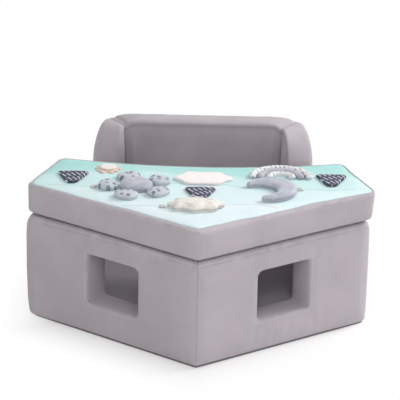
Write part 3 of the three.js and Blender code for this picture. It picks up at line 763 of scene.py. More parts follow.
# %% Lines along the walls
EDGE_R, INNER_EDGE_R = 0.009, 0.006
STEEP_SHARE = 0.3
WING_FOOT, WING_HEAD = 0.286, 0.344
BACK_SHOULDER = 0.046
FAN = 0.086
WINDOW_W, WINDOW_H, SILL = 0.109, 0.088, 0.056
LIP = 0.003
WINDOW_CELLS, PANEL_CELLS, BESIDE_CELLS, LOW_CELLS = 18, 15, 19, 42


def inner_reach(k, s):
    """Near a corner the inner face is shorter, so its points lie closer together."""
    near = s if s < SIDE / 2 else SIDE - s
    if near >= FAN:
        return s
    start = CORNER_R[k if s < SIDE / 2 else (k + 1) % 5] * math.tan(TURN / 2)
    inner_start = (WALL + INNER_R) * math.tan(TURN / 2)
    drawn = FAN - (FAN - near) * (FAN - inner_start) / (FAN - start)
    return drawn if s < SIDE / 2 else SIDE - drawn


class Line:
    """One line of cloth over the wall: where it stands in plan, and the top edge that it passes over"""

    def __init__(self, plan, edge, lean=(0.0, 1.0), foot=None):
        self.plan, self.edge = plan, edge
        self.lean = np.array(lean) * max(lean[1], STEEP_SHARE)
        self.foot = edge[0] if foot is None else foot

    def at(self, across, drop):
        s, z = self.edge[0] - self.lean[0] * drop, self.edge[1] - self.lean[1] * drop
        return (*self.plan(s, across), z)


def wall_plan(k):
    start = corner_point(k)
    out, along = wall_axes(k)

    def plan(s, across):
        outer = start + along * s
        inner = start + along * inner_reach(k, s) - out * WALL
        return outer + (inner - outer) * (across / WALL)

    return plan


def corner_lines(k, shares, top):
    lines = []
    for share in shares:
        out = heading(corner_angle(k) + (share - 0.5) * TURN)
        outer = corner_point(k, CORNER_R[k]) + out * CORNER_R[k]
        inner = corner_point(k, WALL + INNER_R) + out * INNER_R
        plan = lambda s, across, a=outer, b=inner: a + (b - a) * (across / WALL)
        lines.append(Line(plan, (0.0, top)))
    return lines


def tangent(k):
    return CORNER_R[k] * math.tan(TURN / 2)


def straight_lines(k, places, top=BASE_TOP):
    plan = wall_plan(k)
    return [Line(plan, (s, top)) for s in places]


def window_places(k):
    """Lines along a front wall, with one on each side of the window"""
    left, right = SIDE / 2 - WINDOW_W / 2 - LIP, SIDE / 2 + WINDOW_W / 2 + LIP
    before = np.linspace(tangent(k), left, BESIDE_CELLS + 1)[1:]
    between = np.linspace(left, right, WINDOW_CELLS + 1)[1:]
    after = np.linspace(right, SIDE - tangent(k + 1), BESIDE_CELLS + 1)[1:-1]
    return np.concatenate([before, between, after])


def wing_lines(k):
    """The low side wall, and then the wing, whose front edge rises in a quarter of an ellipse"""
    plan = wall_plan(k)
    low = straight_lines(k, np.linspace(tangent(k), WING_FOOT - 0.004, LOW_CELLS)[1:])
    run, rise = WING_HEAD - WING_FOOT, WING_TOP - BASE_TOP
    feet = np.linspace(WING_FOOT, WING_HEAD, 20)
    wing = []
    for turn in np.linspace(math.pi / 2, math.pi, 5):
        wing.append(((WING_FOOT, BASE_TOP), heading(turn)))
    for turn in np.linspace(0, math.pi / 2, 16)[1:]:
        edge = (WING_FOOT + run * (1 - math.cos(turn)), BASE_TOP + rise * math.sin(turn))
        lean = np.array([-rise * math.cos(turn), run * math.sin(turn)])
        wing.append((edge, lean / np.linalg.norm(lean)))
    return low + [Line(plan, edge, lean, foot) for (edge, lean), foot in zip(wing, feet)]


def back_lines():
    plan = wall_plan(2)
    lines = []
    for s in np.linspace(tangent(2), SIDE - tangent(3), 58)[1:-1]:
        near = min(s, SIDE - s)
        swell = math.sin(math.pi / 2 * min(near / BACK_SHOULDER, 1))
        lines.append(Line(plan, (s, WING_TOP + (BACK_TOP - WING_TOP) * swell)))
    return lines


print("window lines", len(window_places(0)), "wing lines", len(wing_lines(1)))

# %% Rows over the wall
OUTER_CELLS, INNER_CELLS = (9, PANEL_CELLS, 6), (8, PANEL_CELLS, 5)
STRIP_CELLS = 6
TURN_IN = [(0.0032, 0.0), (0.0009, 0.0016)]
PANEL_LOW = WALL_LOW + 0.0045


def levels(top, cells, framed):
    """Heights of a panel's rows. Where framed is 1, two rows run along the window's sill and head."""
    marks = [PANEL_LOW, SILL - LIP, SILL + WINDOW_H + LIP, top]
    strict = [np.linspace(marks[i], marks[i + 1], cells[i] + 1)[i > 0:] for i in range(3)]
    strict = np.concatenate(strict)
    return strict * framed + np.linspace(PANEL_LOW, top, len(strict)) * (1 - framed)


def panel_rows(line, across, heights, drop):
    """Points of a panel from its foot to where the top edge starts to round"""
    top = line.at(across, drop)[2]
    s_top = line.edge[0] - line.lean[0] * drop
    rows = []
    for z in heights:
        share = (z - PANEL_LOW) / (top - PANEL_LOW)
        rows.append((*line.plan(line.foot + (s_top - line.foot) * share ** 2, across), z))
    return rows


def section(line, framed):
    """All rows of one line, from the outer foot over the top to the inner foot, and the seams' row numbers"""
    rows = [(*line.plan(line.foot, across), WALL_LOW + up) for across, up in TURN_IN]
    top = line.at(0, EDGE_R)[2]
    rows += panel_rows(line, 0, levels(top, OUTER_CELLS, framed), EDGE_R)
    outer_seam = len(rows) - 1
    for turn in np.radians([22.5, 45, 67.5, 90]):
        rows.append(line.at(EDGE_R * (1 - math.cos(turn)), EDGE_R * (1 - math.sin(turn))))
    for across in np.linspace(EDGE_R, WALL - INNER_EDGE_R, STRIP_CELLS + 1)[1:]:
        rows.append(line.at(across, 0))
    for turn in np.radians([67.5, 45, 22.5]):
        rows.append(line.at(WALL - INNER_EDGE_R * (1 - math.cos(turn)), INNER_EDGE_R * (1 - math.sin(turn))))
    inner_seam = len(rows)
    top = line.at(WALL, INNER_EDGE_R)[2]
    rows += panel_rows(line, WALL, levels(top, INNER_CELLS, framed), INNER_EDGE_R)[::-1]
    return rows, outer_seam, inner_seam


def window_loop(grow):
    """Points round the window, as distance along the wall and height, from the corner nearest the front"""
    left, right = SIDE / 2 - WINDOW_W / 2 - grow, SIDE / 2 + WINDOW_W / 2 + grow
    low, high = SILL - grow, SILL + WINDOW_H + grow
    along, up = np.linspace(left, right, WINDOW_CELLS + 1), np.linspace(low, high, PANEL_CELLS + 1)
    loop = [(s, low) for s in along[:-1]] + [(right, z) for z in up[:-1]]
    loop += [(s, high) for s in along[:0:-1]] + [(left, z) for z in up[:0:-1]]
    return loop


WINDOW_ROUND = {0: 0.0018, WINDOW_CELLS: 0.0014, WINDOW_CELLS + PANEL_CELLS: 0.0014,
                2 * WINDOW_CELLS + PANEL_CELLS: 0.0036}


def rounded_loop(grow, extra=None):
    """The same loop with its corner points drawn in"""
    loop = window_loop(grow)
    for corner, shift in WINDOW_ROUND.items():
        s, z = loop[corner]
        shift = shift + (extra or {}).get(corner, 0)
        loop[corner] = (s - math.copysign(shift, s - SIDE / 2), z - math.copysign(shift, z - SILL - WINDOW_H / 2))
    return loop


print("points round a window", len(window_loop(0)))

# %% Front and side covers
RIM = [(LIP * (1 - math.sin(a)), LIP * (1 - math.cos(a))) for a in np.radians([30, 60, 90])] + [(0.0, 0.0075)]
VALLEY, END_VALLEY = 0.0009, 0.0013
FOLD_FOOT, FOLD_HEAD, FOLD_AWAY, FOLD_W, FOLD_DEPTH = 0.075, 0.016, 0.0175, 0.0062, 0.0042
PANEL_PRESSURE, PANEL_SLACK = 6.0, 0.004
CLOTH_THICK = 0.0012


def cover_cloth(lines, framed):
    """The grid of a cover: its cloth, row numbers, seam rows and how far along each line stands"""
    cloth = Cloth()
    sections = [section(line, share) for line, share in zip(lines, framed)]
    outer_seam, inner_seam = sections[0][1:]
    rows = [cloth.row([points[j] for points, _, _ in sections]) for j in range(len(sections[0][0]))]
    return cloth, rows, (outer_seam, inner_seam), lengths([line.plan(line.foot, 0) for line in lines])


def cut_window(cloth, rows, first, wall, outer_low, inner_high):
    """Leaves the window's cells out and turns a rim in round each opening"""
    plan = wall_plan(wall)
    last = first + WINDOW_CELLS
    rims = []
    for face, low, step in (("outer", outer_low, 1), ("inner", inner_high + PANEL_CELLS, -1)):
        high = low + step * PANEL_CELLS
        loop = [rows[low][i] for i in range(first, last)] + [rows[j][last] for j in range(low, high, step)]
        loop += [rows[high][i] for i in range(last, first, -1)] + [rows[j][first] for j in range(high, low, -step)]
        for corner, (s, z) in zip(loop, rounded_loop(LIP)):
            cloth.points[corner] = (*plan(s, 0 if face == "outer" else WALL), z)
        u = cloth.around(loop)
        before = loop
        v = 0.0
        for grow, depth in RIM:
            across = depth if face == "outer" else WALL - depth
            ring = cloth.row([(*plan(s, across), z) for s, z in rounded_loop(grow)])
            pair = (before, ring) if face == "outer" else (ring, before)
            cloth.band(*pair, u, (v, v + 0.003), closed=True)
            before, v = ring, v + 0.003
            rims += ring
        rims += loop
    return rims


def front_cover(name, mirrored):
    front = corner_lines(0, (0.5, 0.75, 1.0), BASE_TOP)
    wall = straight_lines(0, window_places(0))
    corner = corner_lines(1, np.linspace(0, 1, 7), BASE_TOP)
    wing = wing_lines(1)
    rear = corner_lines(2, np.linspace(0, 0.5, 5), WING_TOP)
    lines = front + wall + corner + wing + rear
    whole = len(front + wall + corner)
    fade = np.clip(1 - np.arange(len(lines) - whole) / 14, 0, 1)
    cloth, rows, seams, along = cover_cloth(lines, [1.0] * whole + list(fade))

    window = len(front) + BESIDE_CELLS - 1
    outer_low = len(TURN_IN) + OUTER_CELLS[0]
    inner_high = seams[1] + INNER_CELLS[2]
    rims = cut_window(cloth, rows, window, 0, outer_low, inner_high)
    hole = set(range(window, window + WINDOW_CELLS))
    cloth.bands(rows, along, skips={low + j: hole for low in (outer_low, inner_high) for j in range(PANEL_CELLS)})
    piece = cloth.piece(name, mirrored)
    low_lines = len(front + wall + corner) + LOW_CELLS
    return piece, np.array(rows), seams, rims, low_lines


def back_cover(name):
    lines = corner_lines(2, np.linspace(0.5, 1, 5), WING_TOP) + back_lines()
    lines += corner_lines(3, np.linspace(0, 0.5, 5), WING_TOP)
    cloth, rows, seams, along = cover_cloth(lines, [0.0] * len(lines))
    cloth.bands(rows, along)
    return cloth.piece(name), np.array(rows), seams, [], 0


def slack_folds(places):
    """How far the spare cloth stands out in a soft fold on each side of an inner rear corner"""
    depth = np.zeros(len(places))
    for k in (2, 3):
        corner = corner_point(k, WALL)
        x, y, z = (places - (*corner, 0)).T
        away = np.hypot(x, y)
        high = fade_in(z - FOLD_FOOT, 0.05) * fade_in(BACK_TOP - FOLD_HEAD - z, 0.03)
        depth += high * FOLD_DEPTH * np.exp(-((away - FOLD_AWAY) / FOLD_W) ** 2) * fade_in(away, 0.008)
    return depth


def clear_of_zip(places, y_side, half, low, high):
    """1 away from a zip and 0 under its tape, so that the cloth stays flat there"""
    x, y, z = places.T
    near = fade_in(half + 0.012 - abs(x), 0.012) * fade_in(y - y_side, 0.004)
    return 1 - near * fade_in(z - low + 0.008, 0.008) * fade_in(high + 0.008 - z, 0.008)


def sew_cover(piece, rows, seams, rims, low_lines, rise):
    """Draws the seams in, presses the panels out, and leaves the marks that the finish reads"""
    places, normals = places_of(piece), outward(piece)
    seam = np.zeros(len(places))
    for row in seams:
        seam[rows[row]] = 1
    seam[rows[:, [0, -1]]] = 1
    depth = np.zeros(len(places))
    depth[rows[list(seams)]] = VALLEY
    ends = rows[:seams[1], [0, -1]]
    depth[ends] = END_VALLEY * fade_in(places[ends, 2] - 0.004, 0.008)
    put_places(piece, places - normals * depth[:, None])

    held = seam.copy()
    held[rims] = 1
    held[rows[:3]] = held[rows[-3:]] = 1
    held[rows[seams[0]:seams[1], :low_lines]] = 1
    reach = np.full(len(places), rise)
    reach[rows[seams[1]:]] = rise * fade_in(places[rows[seams[1]:], 2] - PAD_LEVEL, 0.03)
    zip_low, zip_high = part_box("base_zip_tape")[:2]
    reach *= clear_of_zip(places, zip_low.y - 0.006, zip_high.x, zip_low.z, zip_high.z)
    press_out(piece, held, PANEL_PRESSURE, PANEL_SLACK, reach)
    inner = rows[seams[1] + 1:].ravel()
    places, normals = places_of(piece), outward(piece)
    places[inner] += normals[inner] * slack_folds(places[inner])[:, None]
    put_places(piece, places)
    put_mark(piece, "seam", seam)
    edge = np.zeros(len(places))
    edge[rows[seams[0]:seams[0] + 4]] = 1
    edge[rows[:3]] = 0.6
    edge[rims] = 0.8
    put_mark(piece, "edge", edge)
    finish_cloth(piece, CLOTH_THICK)


COVER_RISE, PAD_LEVEL = 0.0022, 0.058
FULLNESS = {"cover_right": (1, 0.0042), "cover_left": (4, 0.0115)}
FULL_AT = [0.0, 0.008, 0.03, 0.09, 0.152, 0.170, 0.178, 0.1857]
FULL_SHARE = [0.35, 0.6, 0.85, 1.0, 1.0, 0.9, 0.64, 0.38]


def fill_corner(piece, rows, seams, corner, depth):
    """Lets a cover stand out round its outer corner, as in the photograph, less at the foot and on the top"""
    places = places_of(piece)
    share = np.zeros(len(places))
    for j in range(1, seams[1]):
        strip = min(1, max(0, (seams[1] - 3 - j) / STRIP_CELLS))
        share[rows[j]] = np.interp(places[rows[j], 2], FULL_AT, FULL_SHARE) * strip
    put_places(piece, places + soft_corner(places, corner, depth * share))


covers = {"cover_right": front_cover("cover_right_cloth", False),
          "cover_left": front_cover("cover_left_cloth", True),
          "cover_back": back_cover("cover_back_cloth")}
for node, (piece, rows, seams, rims, low_lines) in covers.items():
    sew_cover(piece, rows, seams, rims, low_lines, COVER_RISE)
    if node in FULLNESS:
        fill_corner(piece, rows, seams, *FULLNESS[node])
    assign_padded(piece, "base", "grey_fabric", node)
print("covers", [name for name in covers])

# %% [markdown]
# ## Window sleeves
# A short tube of the same cloth lines each window, so that no foam shows. It is sewn in behind the rim at both
# ends. The lower corner away from the front carries a thick folded seam, and the photograph shows it as a double
# line, so the corner is drawn up into a small fold.

# %% Window sleeves
SLEEVE_ENDS = 0.0042
FOLD_CORNER = WINDOW_CELLS


def window_sleeve(name, mirrored):
    plan = wall_plan(0)
    cloth = Cloth()
    before, girth = None, 0.0
    for step, depth in enumerate(np.linspace(SLEEVE_ENDS, WALL - SLEEVE_ENDS, 13)):
        share = step / 12
        slack = 0.0006 + 0.0009 * math.sin(math.pi * share)
        loop = rounded_loop(-slack, {FOLD_CORNER: 0.0034 * math.sin(math.pi * min(1, share * 1.5 + 0.25))})
        ring = cloth.row([(*plan(s, depth), z) for s, z in loop])
        if before:
            cloth.band(before, ring, cloth.around(ring), (girth, girth + 0.0036), closed=True)
            girth += 0.0036
        before = ring
    piece = cloth.piece(name, mirrored)
    places, normals = places_of(piece), outward(piece)
    ripple = np.array([noise.noise(Vector(p) * 34) for p in places])
    put_places(piece, places - normals * (0.0007 * (ripple + 0.4))[:, None].clip(0))
    plain_marks(piece)
    finish_cloth(piece, 0.0009)
    return assign(piece, "base", "grey_fabric")


sleeves = [window_sleeve("window_sleeve_right", False), window_sleeve("window_sleeve_left", True)]
print("sleeve points", len(sleeves[0].data.vertices))

# %% [markdown]
# ## Flat panels of cloth
# The mat's top, its underside and the seat's floor are large flat panels with rounded corners. A panel keeps
# the same number of points all round at every step inward, and its middle is filled with a grid stretched
# between the four sides, so no point has a fan of thin faces round it.

# %% Rings and filled middles
MAT_LOW, MAT_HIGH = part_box("mat_band")[0].z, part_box("mat_top_panel")[1].z
OVERHANG, MAT_REAR, REAR_SPAN, REAR_HOLLOW = 0.004, 0.346, 0.472, 0.030
REAR_R = ((REAR_SPAN / 2) ** 2 + REAR_HOLLOW ** 2) / (2 * REAR_HOLLOW)
REAR_MIDDLE = CENTRE + (0, MAT_REAR - CIRCUM - REAR_HOLLOW + REAR_R)
MAT_CORNER_R, MAT_FRONT_R = 0.016, 0.010
ACROSS_CELLS, SIDE_CELLS = 132, 26


def turn_round(centre, radius, start, end, steps=8):
    return [centre + heading(start + (end - start) * i / steps) * radius for i in range(steps + 1)]


def evenly(chain, cells):
    """Points at equal steps along a chain of points, without its last point"""
    chain = np.asarray(chain)
    along = lengths(chain)
    marks = np.linspace(0, along[-1], cells + 1)[:-1]
    return np.column_stack([np.interp(marks, along, chain[:, axis]) for axis in range(chain.shape[1])])


def ring_from(left, front, right, rear_right, rear, rear_left):
    """A closed ring from five rounded corners and the rear side, with a fixed number of cells on each side"""
    mid = 4
    chains = [(left[mid:] + front[:mid + 1], ACROSS_CELLS // 2), (front[mid:] + right[:mid + 1], ACROSS_CELLS // 2),
              (right[mid:] + rear_right[:mid + 1], SIDE_CELLS),
              (rear_right[mid:] + rear + rear_left[:mid + 1], ACROSS_CELLS),
              (rear_left[mid:] + left[:mid + 1], SIDE_CELLS)]
    return np.concatenate([evenly(chain, cells) for chain, cells in chains])


def plan_corner(k, inset, radius):
    fillet = max(radius - inset, 0.002)
    angle = corner_angle(k)
    return turn_round(corner_point(k, inset + fillet), fillet, angle - TURN / 2, angle + TURN / 2)


def mat_ring(inset):
    """The mat's outline in plan, drawn in by inset. Its rear side is a hollow arc."""
    left = plan_corner(4, inset - OVERHANG, MAT_CORNER_R - OVERHANG)
    front = plan_corner(0, inset - OVERHANG, MAT_FRONT_R - OVERHANG)
    right = plan_corner(1, inset - OVERHANG, MAT_CORNER_R - OVERHANG)
    fillet = max(MAT_CORNER_R - inset, 0.002)
    out, along = wall_axes(1)
    start = corner_point(1, inset - OVERHANG) - out * fillet
    gap = start - REAR_MIDDLE
    travel = -gap @ along - math.sqrt((gap @ along) ** 2 - gap @ gap + (REAR_R + inset + fillet) ** 2)
    centre = start + along * travel
    inward = math.atan2(*(REAR_MIDDLE - centre)[::-1])
    rear_right = turn_round(centre, fillet, corner_angle(1) + TURN / 2, inward)
    rear_left = [point * (-1, 1) for point in rear_right[::-1]]
    rear = turn_round(REAR_MIDDLE, REAR_R + inset, inward - math.pi, -inward, 40)[1:-1]
    return ring_from(left, front, right, rear_right, rear, rear_left)


def five_corner_ring(inset, radii):
    """A ring along the whole pentagon, drawn in by inset"""
    corners = [plan_corner(k, inset, radii[k]) for k in (4, 0, 1, 2, 3)]
    return ring_from(*corners[:4], [], corners[4])


def floor_ring(inset):
    return five_corner_ring(inset, [WALL + INNER_R] * 5)


def stretched(ring, a, b):
    """The grid of points inside a ring whose four sides have a, b, a and b cells"""
    ring = np.asarray(ring)
    low, right = ring[:a + 1], ring[a:a + b + 1]
    high, left = ring[a + b:2 * a + b + 1][::-1], np.concatenate([ring[2 * a + b:], ring[:1]])[::-1]
    u, v = np.linspace(0, 1, a + 1)[None, :, None], np.linspace(0, 1, b + 1)[:, None, None]
    sides = (1 - v) * low[None] + v * high[None] + (1 - u) * left[:, None] + u * right[:, None]
    corners = (1 - u) * (1 - v) * low[0] + u * (1 - v) * low[-1] + u * v * high[-1] + (1 - u) * v * high[0]
    return sides - corners


def fill_middle(cloth, ring, height, upward=True, cells=(ACROSS_CELLS, SIDE_CELLS)):
    """Faces over the middle of a ring that is already in the cloth. Height may change from point to point."""
    a, b = cells
    grid = stretched(np.array([cloth.points[i] for i in ring])[:, :2], a, b)
    rows = []
    for j in range(b + 1):
        if j == 0:
            rows.append(ring[:a + 1])
        elif j == b:
            rows.append(ring[a + b:2 * a + b + 1][::-1])
        else:
            inner = cloth.row([(*p, height(p) if callable(height) else height) for p in grid[j, 1:-1]])
            rows.append([ring[(2 * (a + b) - j)], *inner, ring[a + j]])
    for low, high in zip(rows, rows[1:]):
        for i in range(a):
            cloth.flat_face((low[i], low[i + 1], high[i + 1], high[i]), upward)


def flat_band(cloth, outer, inner, upward=True):
    """Faces between two rings that lie flat, drawn on the cloth as they lie"""
    count = len(outer)
    for i in range(count):
        j = (i + 1) % count
        cloth.flat_face((outer[i], outer[j], inner[j], inner[i]), upward)


print("ring points", len(mat_ring(0.0)), "mat reaches", mat_ring(0.0).min(0).round(4), mat_ring(0.0).max(0).round(4))

# %% [markdown]
# ## Table mat
# The mat is a foam slab in a sewn cover: a grey band with the underside, and a printed top. The band rolls over
# the top edge, and the print is sewn on a little way in. In the photograph that seam wanders, so it is drawn as
# a slow wave that runs a little deeper towards the front corner.

# %% Mat cover
MAT_BOTTOM_R, MAT_EDGE_R, CROWN = 0.008, 0.005, 0.003
MAT_SIDE_TOP = MAT_HIGH - CROWN - MAT_EDGE_R
CROWN_IN = 0.028
TOP_SLACK = 0.0007
BAND_RISE, PRINT_RISE = 0.0021, 0.0009


def top_height(inset):
    """Height of the mat's skin at a distance in from its outline"""
    if inset < MAT_EDGE_R:
        return MAT_SIDE_TOP + MAT_EDGE_R * math.sqrt(1 - (1 - inset / MAT_EDGE_R) ** 2)
    share = min(1, (inset - MAT_EDGE_R) / (CROWN_IN - MAT_EDGE_R))
    return MAT_HIGH - CROWN + (CROWN - TOP_SLACK) * math.sin(math.pi / 2 * share)


MAT_INSETS = np.array([0, 0.0025, 0.005, 0.010, 0.016, 0.022, CROWN_IN])
MAT_RINGS = np.array([mat_ring(inset) for inset in MAT_INSETS])
ROUND = np.arange(len(MAT_RINGS[0])) / len(MAT_RINGS[0])


def seam_wander():
    """How far in the print's seam runs at each point round the mat"""
    wander = 0.0056 + 0.0010 * np.sin(math.tau * ROUND * 9 + 0.6) + 0.0006 * np.sin(math.tau * ROUND * 23 + 2.0)
    side = ACROSS_CELLS / 2 / len(ROUND)
    return wander + 0.0072 * fade_in(side - abs(ROUND - side), side)


def ring_in(insets):
    """Ring points where each point has its own distance in from the outline"""
    flat = np.array([[np.interp(inset, MAT_INSETS, MAT_RINGS[:, i, axis]) for axis in (0, 1)]
                     for i, inset in enumerate(insets)])
    return np.column_stack([flat, [top_height(inset) for inset in insets]])


def mat_band():
    cloth = Cloth()
    flat = [cloth.row([(*p, MAT_LOW) for p in mat_ring(inset)]) for inset in (0.030, 0.018, MAT_BOTTOM_R)]
    fill_middle(cloth, flat[0], MAT_LOW, upward=False)
    for inner, outer in zip(flat, flat[1:]):
        flat_band(cloth, outer, inner, upward=False)
    heights = []
    for turn in np.radians([22.5, 45, 67.5, 90]):
        heights.append((MAT_BOTTOM_R * (1 - math.sin(turn)), MAT_LOW + MAT_BOTTOM_R * (1 - math.cos(turn))))
    heights += [(0.0, z) for z in np.linspace(MAT_LOW + MAT_BOTTOM_R, MAT_SIDE_TOP, 8)[1:]]
    rows = [flat[-1]] + [cloth.row([(*p, z) for p in mat_ring(inset)]) for inset, z in heights]
    seam_in = seam_wander()
    for inset in (0.0007, 0.0025):
        rows.append(cloth.row(ring_in(np.full(len(ROUND), inset))))
    for share, drop in ((0.55, 0.0), (1.0, 0.0011)):
        rows.append(cloth.row(ring_in(0.0025 + (seam_in - 0.0025) * share) - (0, 0, drop)))
    rows.append(cloth.row(ring_in(seam_in + 0.0012) - (0, 0, 0.0034)))
    cloth.bands(rows, cloth.around(rows[5]), closed=True)
    return cloth.piece("mat_band_cloth"), rows


def mat_top():
    cloth = Cloth()
    seam_in = seam_wander()
    rows = [cloth.row(ring_in(seam_in - 0.0008) - (0, 0, 0.0030)), cloth.row(ring_in(seam_in) - (0, 0, 0.0009))]
    for share in (0.13, 0.34, 0.66, 1.0):
        rows.append(cloth.row(ring_in(seam_in + (CROWN_IN - seam_in) * share)))
    for outer, inner in zip(rows, rows[1:]):
        flat_band(cloth, outer, inner)
    fill_middle(cloth, rows[-1], MAT_HIGH - TOP_SLACK)
    return cloth.piece("mat_top_cloth"), rows


def fuller(points):
    """The mat's points moved out round its two side corners, the right one more along its top edge"""
    up = fade_in(points[:, 2] - MAT_LOW, MAT_HIGH - MAT_LOW)
    right, left = soft_corner(points, 1, 0.0020 + 0.0042 * up), soft_corner(points, 4, 0.0022 + 0 * up)
    return points + right + left


mat_side, mat_rows = mat_band()
places = places_of(mat_side)
held, seam, edge = (np.zeros(len(places)) for _ in range(3))
held[places[:, 2] < MAT_LOW + 0.0005] = 1
held[mat_rows[4]] = held[mat_rows[-1]] = held[mat_rows[-2]] = 1
seam[mat_rows[-2]] = seam[mat_rows[-1]] = 1
edge[mat_rows[-4]] = edge[mat_rows[-5]] = 1
zip_low, zip_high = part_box("mat_zip_tape")[:2]
reach = BAND_RISE * clear_of_zip(places, zip_low.y - 0.004, zip_high.x, zip_low.z, zip_high.z)
press_out(mat_side, held, PANEL_PRESSURE, PANEL_SLACK, reach)
put_places(mat_side, fuller(places_of(mat_side)))
put_mark(mat_side, "seam", seam)
put_mark(mat_side, "edge", edge)
finish_cloth(mat_side, CLOTH_THICK)

mat_print, print_rows = mat_top()
held = np.zeros(len(mat_print.data.vertices))
held[print_rows[0]] = held[print_rows[1]] = 1
seam = held.copy()
press_out(mat_print, held, 3.0, 0.006, PRINT_RISE)
put_places(mat_print, fuller(places_of(mat_print)))
put_mark(mat_print, "seam", seam)
finish_cloth(mat_print, CLOTH_THICK)
for piece, node, slot in ((mat_side, "mat_band", "grey_fabric"), (mat_print, "mat_top_panel", "print_fabric")):
    assign_padded(piece, "table_mat", slot, node)
print("mat points", len(mat_side.data.vertices), len(mat_print.data.vertices))

# %% [markdown]
# ## Floor pad
# The pad inside the walls is foam in a plain cover, level with the window sills. Its cover is one soft panel with
# rounded edges that presses up a little between the walls.

# %% Floor pad
PAD_IN, PAD_TOP, PAD_CROWN, PAD_R = WALL + 0.0003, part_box("floor_cover")[1].z, 0.004, 0.007
PAD_RISE = 0.0016


def floor_pad():
    cloth = Cloth()
    edge = PAD_TOP - PAD_CROWN
    heights = [(0, z) for z in np.linspace(WALL_LOW, edge - PAD_R, 8)]
    heights += [(PAD_R * (1 - math.cos(a)), edge - PAD_R * (1 - math.sin(a))) for a in np.radians([30, 60, 90])]
    sides = [cloth.row([(*p, z) for p in floor_ring(PAD_IN + inset)]) for inset, z in heights]
    cloth.bands(sides, cloth.around(sides[0]), closed=True)
    rows = [sides[-1]]
    for inset, rise in ((0.016, 0.4), (0.030, 0.7), (0.05, 0.87), (0.08, 1.0)):
        rows.append(cloth.row([(*p, edge + PAD_CROWN * rise) for p in floor_ring(PAD_IN + inset)]))
    for outer, inner in zip(rows, rows[1:]):
        flat_band(cloth, outer, inner)
    fill_middle(cloth, rows[-1], PAD_TOP)
    return cloth.piece("floor_pad_cloth"), sides


pad, pad_sides = floor_pad()
places = places_of(pad)
held = np.zeros(len(places))
held[np.concatenate(pad_sides[:-2])] = 1
press_out(pad, held, 4.0, 0.008, PAD_RISE)
plain_marks(pad)
finish_cloth(pad, CLOTH_THICK)
assign_padded(pad, "base", "lining_fabric", "floor_cover")
print("pad points", len(pad.data.vertices))

# %% [markdown]
# ## Stuffed shapes
# Sky shapes lie on the print: a moon, a cloud and a flower in plush, a rainbow of three stuffed arcs, flat
# patches and three small pennants. Each is two layers of cloth sewn round an outline and filled, so it is made
# that way: the outline is the seam, both layers are filled grids, and pressure domes them while the seam holds.
# Loose cloth then puckers along the seam as it does on a real soft toy.

# %% Stuffed shapes
SEED = 7
noise.seed_set(SEED)


def pillow(name, outline, cells, low, high, swell, slack=0.05, pressure=9.0, flat_top=0.0):
    """Cloth over and under an outline. Swell is how far in from the seam the dome reaches its height."""
    outline = np.asarray(outline)
    seam_z = low + 0.36 * (high - low)
    wave = [noise.noise(Vector((*p, 0.3)) * 150) for p in outline]
    cloth = Cloth()
    ring = cloth.row([(x, y, seam_z + 0.0005 * w * min(1, (high - low) / 0.006)) for (x, y), w in zip(outline, wave)])

    def dome(p):
        inward = min(1.0, float(np.min(np.linalg.norm(outline - p, axis=1))) / swell)
        return seam_z + (high - seam_z) * (math.sqrt(max(0, 1 - (1 - inward) ** 2)) * 0.93 + 0.07 * flat_top)

    fill_middle(cloth, ring, dome, cells=cells)
    fill_middle(cloth, ring, low, upward=False, cells=cells)
    piece = cloth.piece(name)
    held = np.zeros(len(cloth.points))
    held[ring] = 1
    press_out(piece, held, pressure, slack, (high - low) * 0.35, stiff=6.0)
    places = places_of(piece)
    places[:, 2] = places[:, 2].clip(low, high)
    put_places(piece, places)
    put_mark(piece, "seam", held)
    finish_cloth(piece, 0)
    return piece


def closed_ring(at, cells):
    """A ring for a pillow: at gives a point for each share of the way round, the ring has cells on four sides"""
    a, b = cells
    chain = np.array([at(share) for share in np.linspace(0, 1, 361)])
    return evenly(chain, 2 * (a + b))


def lobed(middle, across, deep, lobes, swell, start=0.0):
    def at(share):
        angle = start + math.tau * share
        reach = 1 - swell + swell * math.cos(lobes * angle)
        return middle[0] + across * reach * math.cos(angle), middle[1] + deep * reach * math.sin(angle)
    return at


def arc_ring(middle, radius, width, start, end, cells):
    """The outline of a curved band: out along its outer side, round the end, and back along the inner side"""
    a, b = cells
    outer = [(share, 0.5) for share in np.linspace(0, 1, a + 1)]
    tip = [(1, side) for side in np.linspace(0.5, -0.5, b + 1)[1:]]
    inner = [(share, -0.5) for share in np.linspace(1, 0, a + 1)[1:]]
    tail = [(0, side) for side in np.linspace(-0.5, 0.5, b + 1)[1:-1]]
    points = []
    for share, side in outer + tip + inner + tail:
        angle = start + (end - start) * share
        bulge = width(share) * 0.42 * math.sqrt(max(0, 0.25 - side ** 2)) * 2
        turn = angle + (bulge / radius if share == 1 else -bulge / radius if share == 0 else 0)
        points.append(middle + heading(turn) * (radius + width(share) * side))
    return np.array(points)


def on_mat(across, deep):
    """A place on the mat, given across from the middle and back from the front corner of the plan"""
    return np.array([across, deep + CENTRE[1] - CIRCUM])


MAT_SKIN = MAT_HIGH + 0.0001
MOON, MOON_R, MOON_SWEEP, MOON_TILT = on_mat(0.108, 0.176), 0.038, math.radians(230), math.radians(20)
CLOUD, FLOWER, PETALS, PETAL_R = on_mat(-0.006, 0.102), on_mat(-0.108, 0.190), 5, 0.0445


def moon():
    start, end = MOON_TILT - MOON_SWEEP / 2, MOON_TILT + MOON_SWEEP / 2
    width = lambda share: 0.009 + 0.029 * math.sin(math.pi * share)
    ring = arc_ring(MOON, MOON_R, width, start, end, (40, 8))
    return pillow("moon_soft", ring, (40, 8), MAT_SKIN, MAT_HIGH + 0.0142, 0.017)


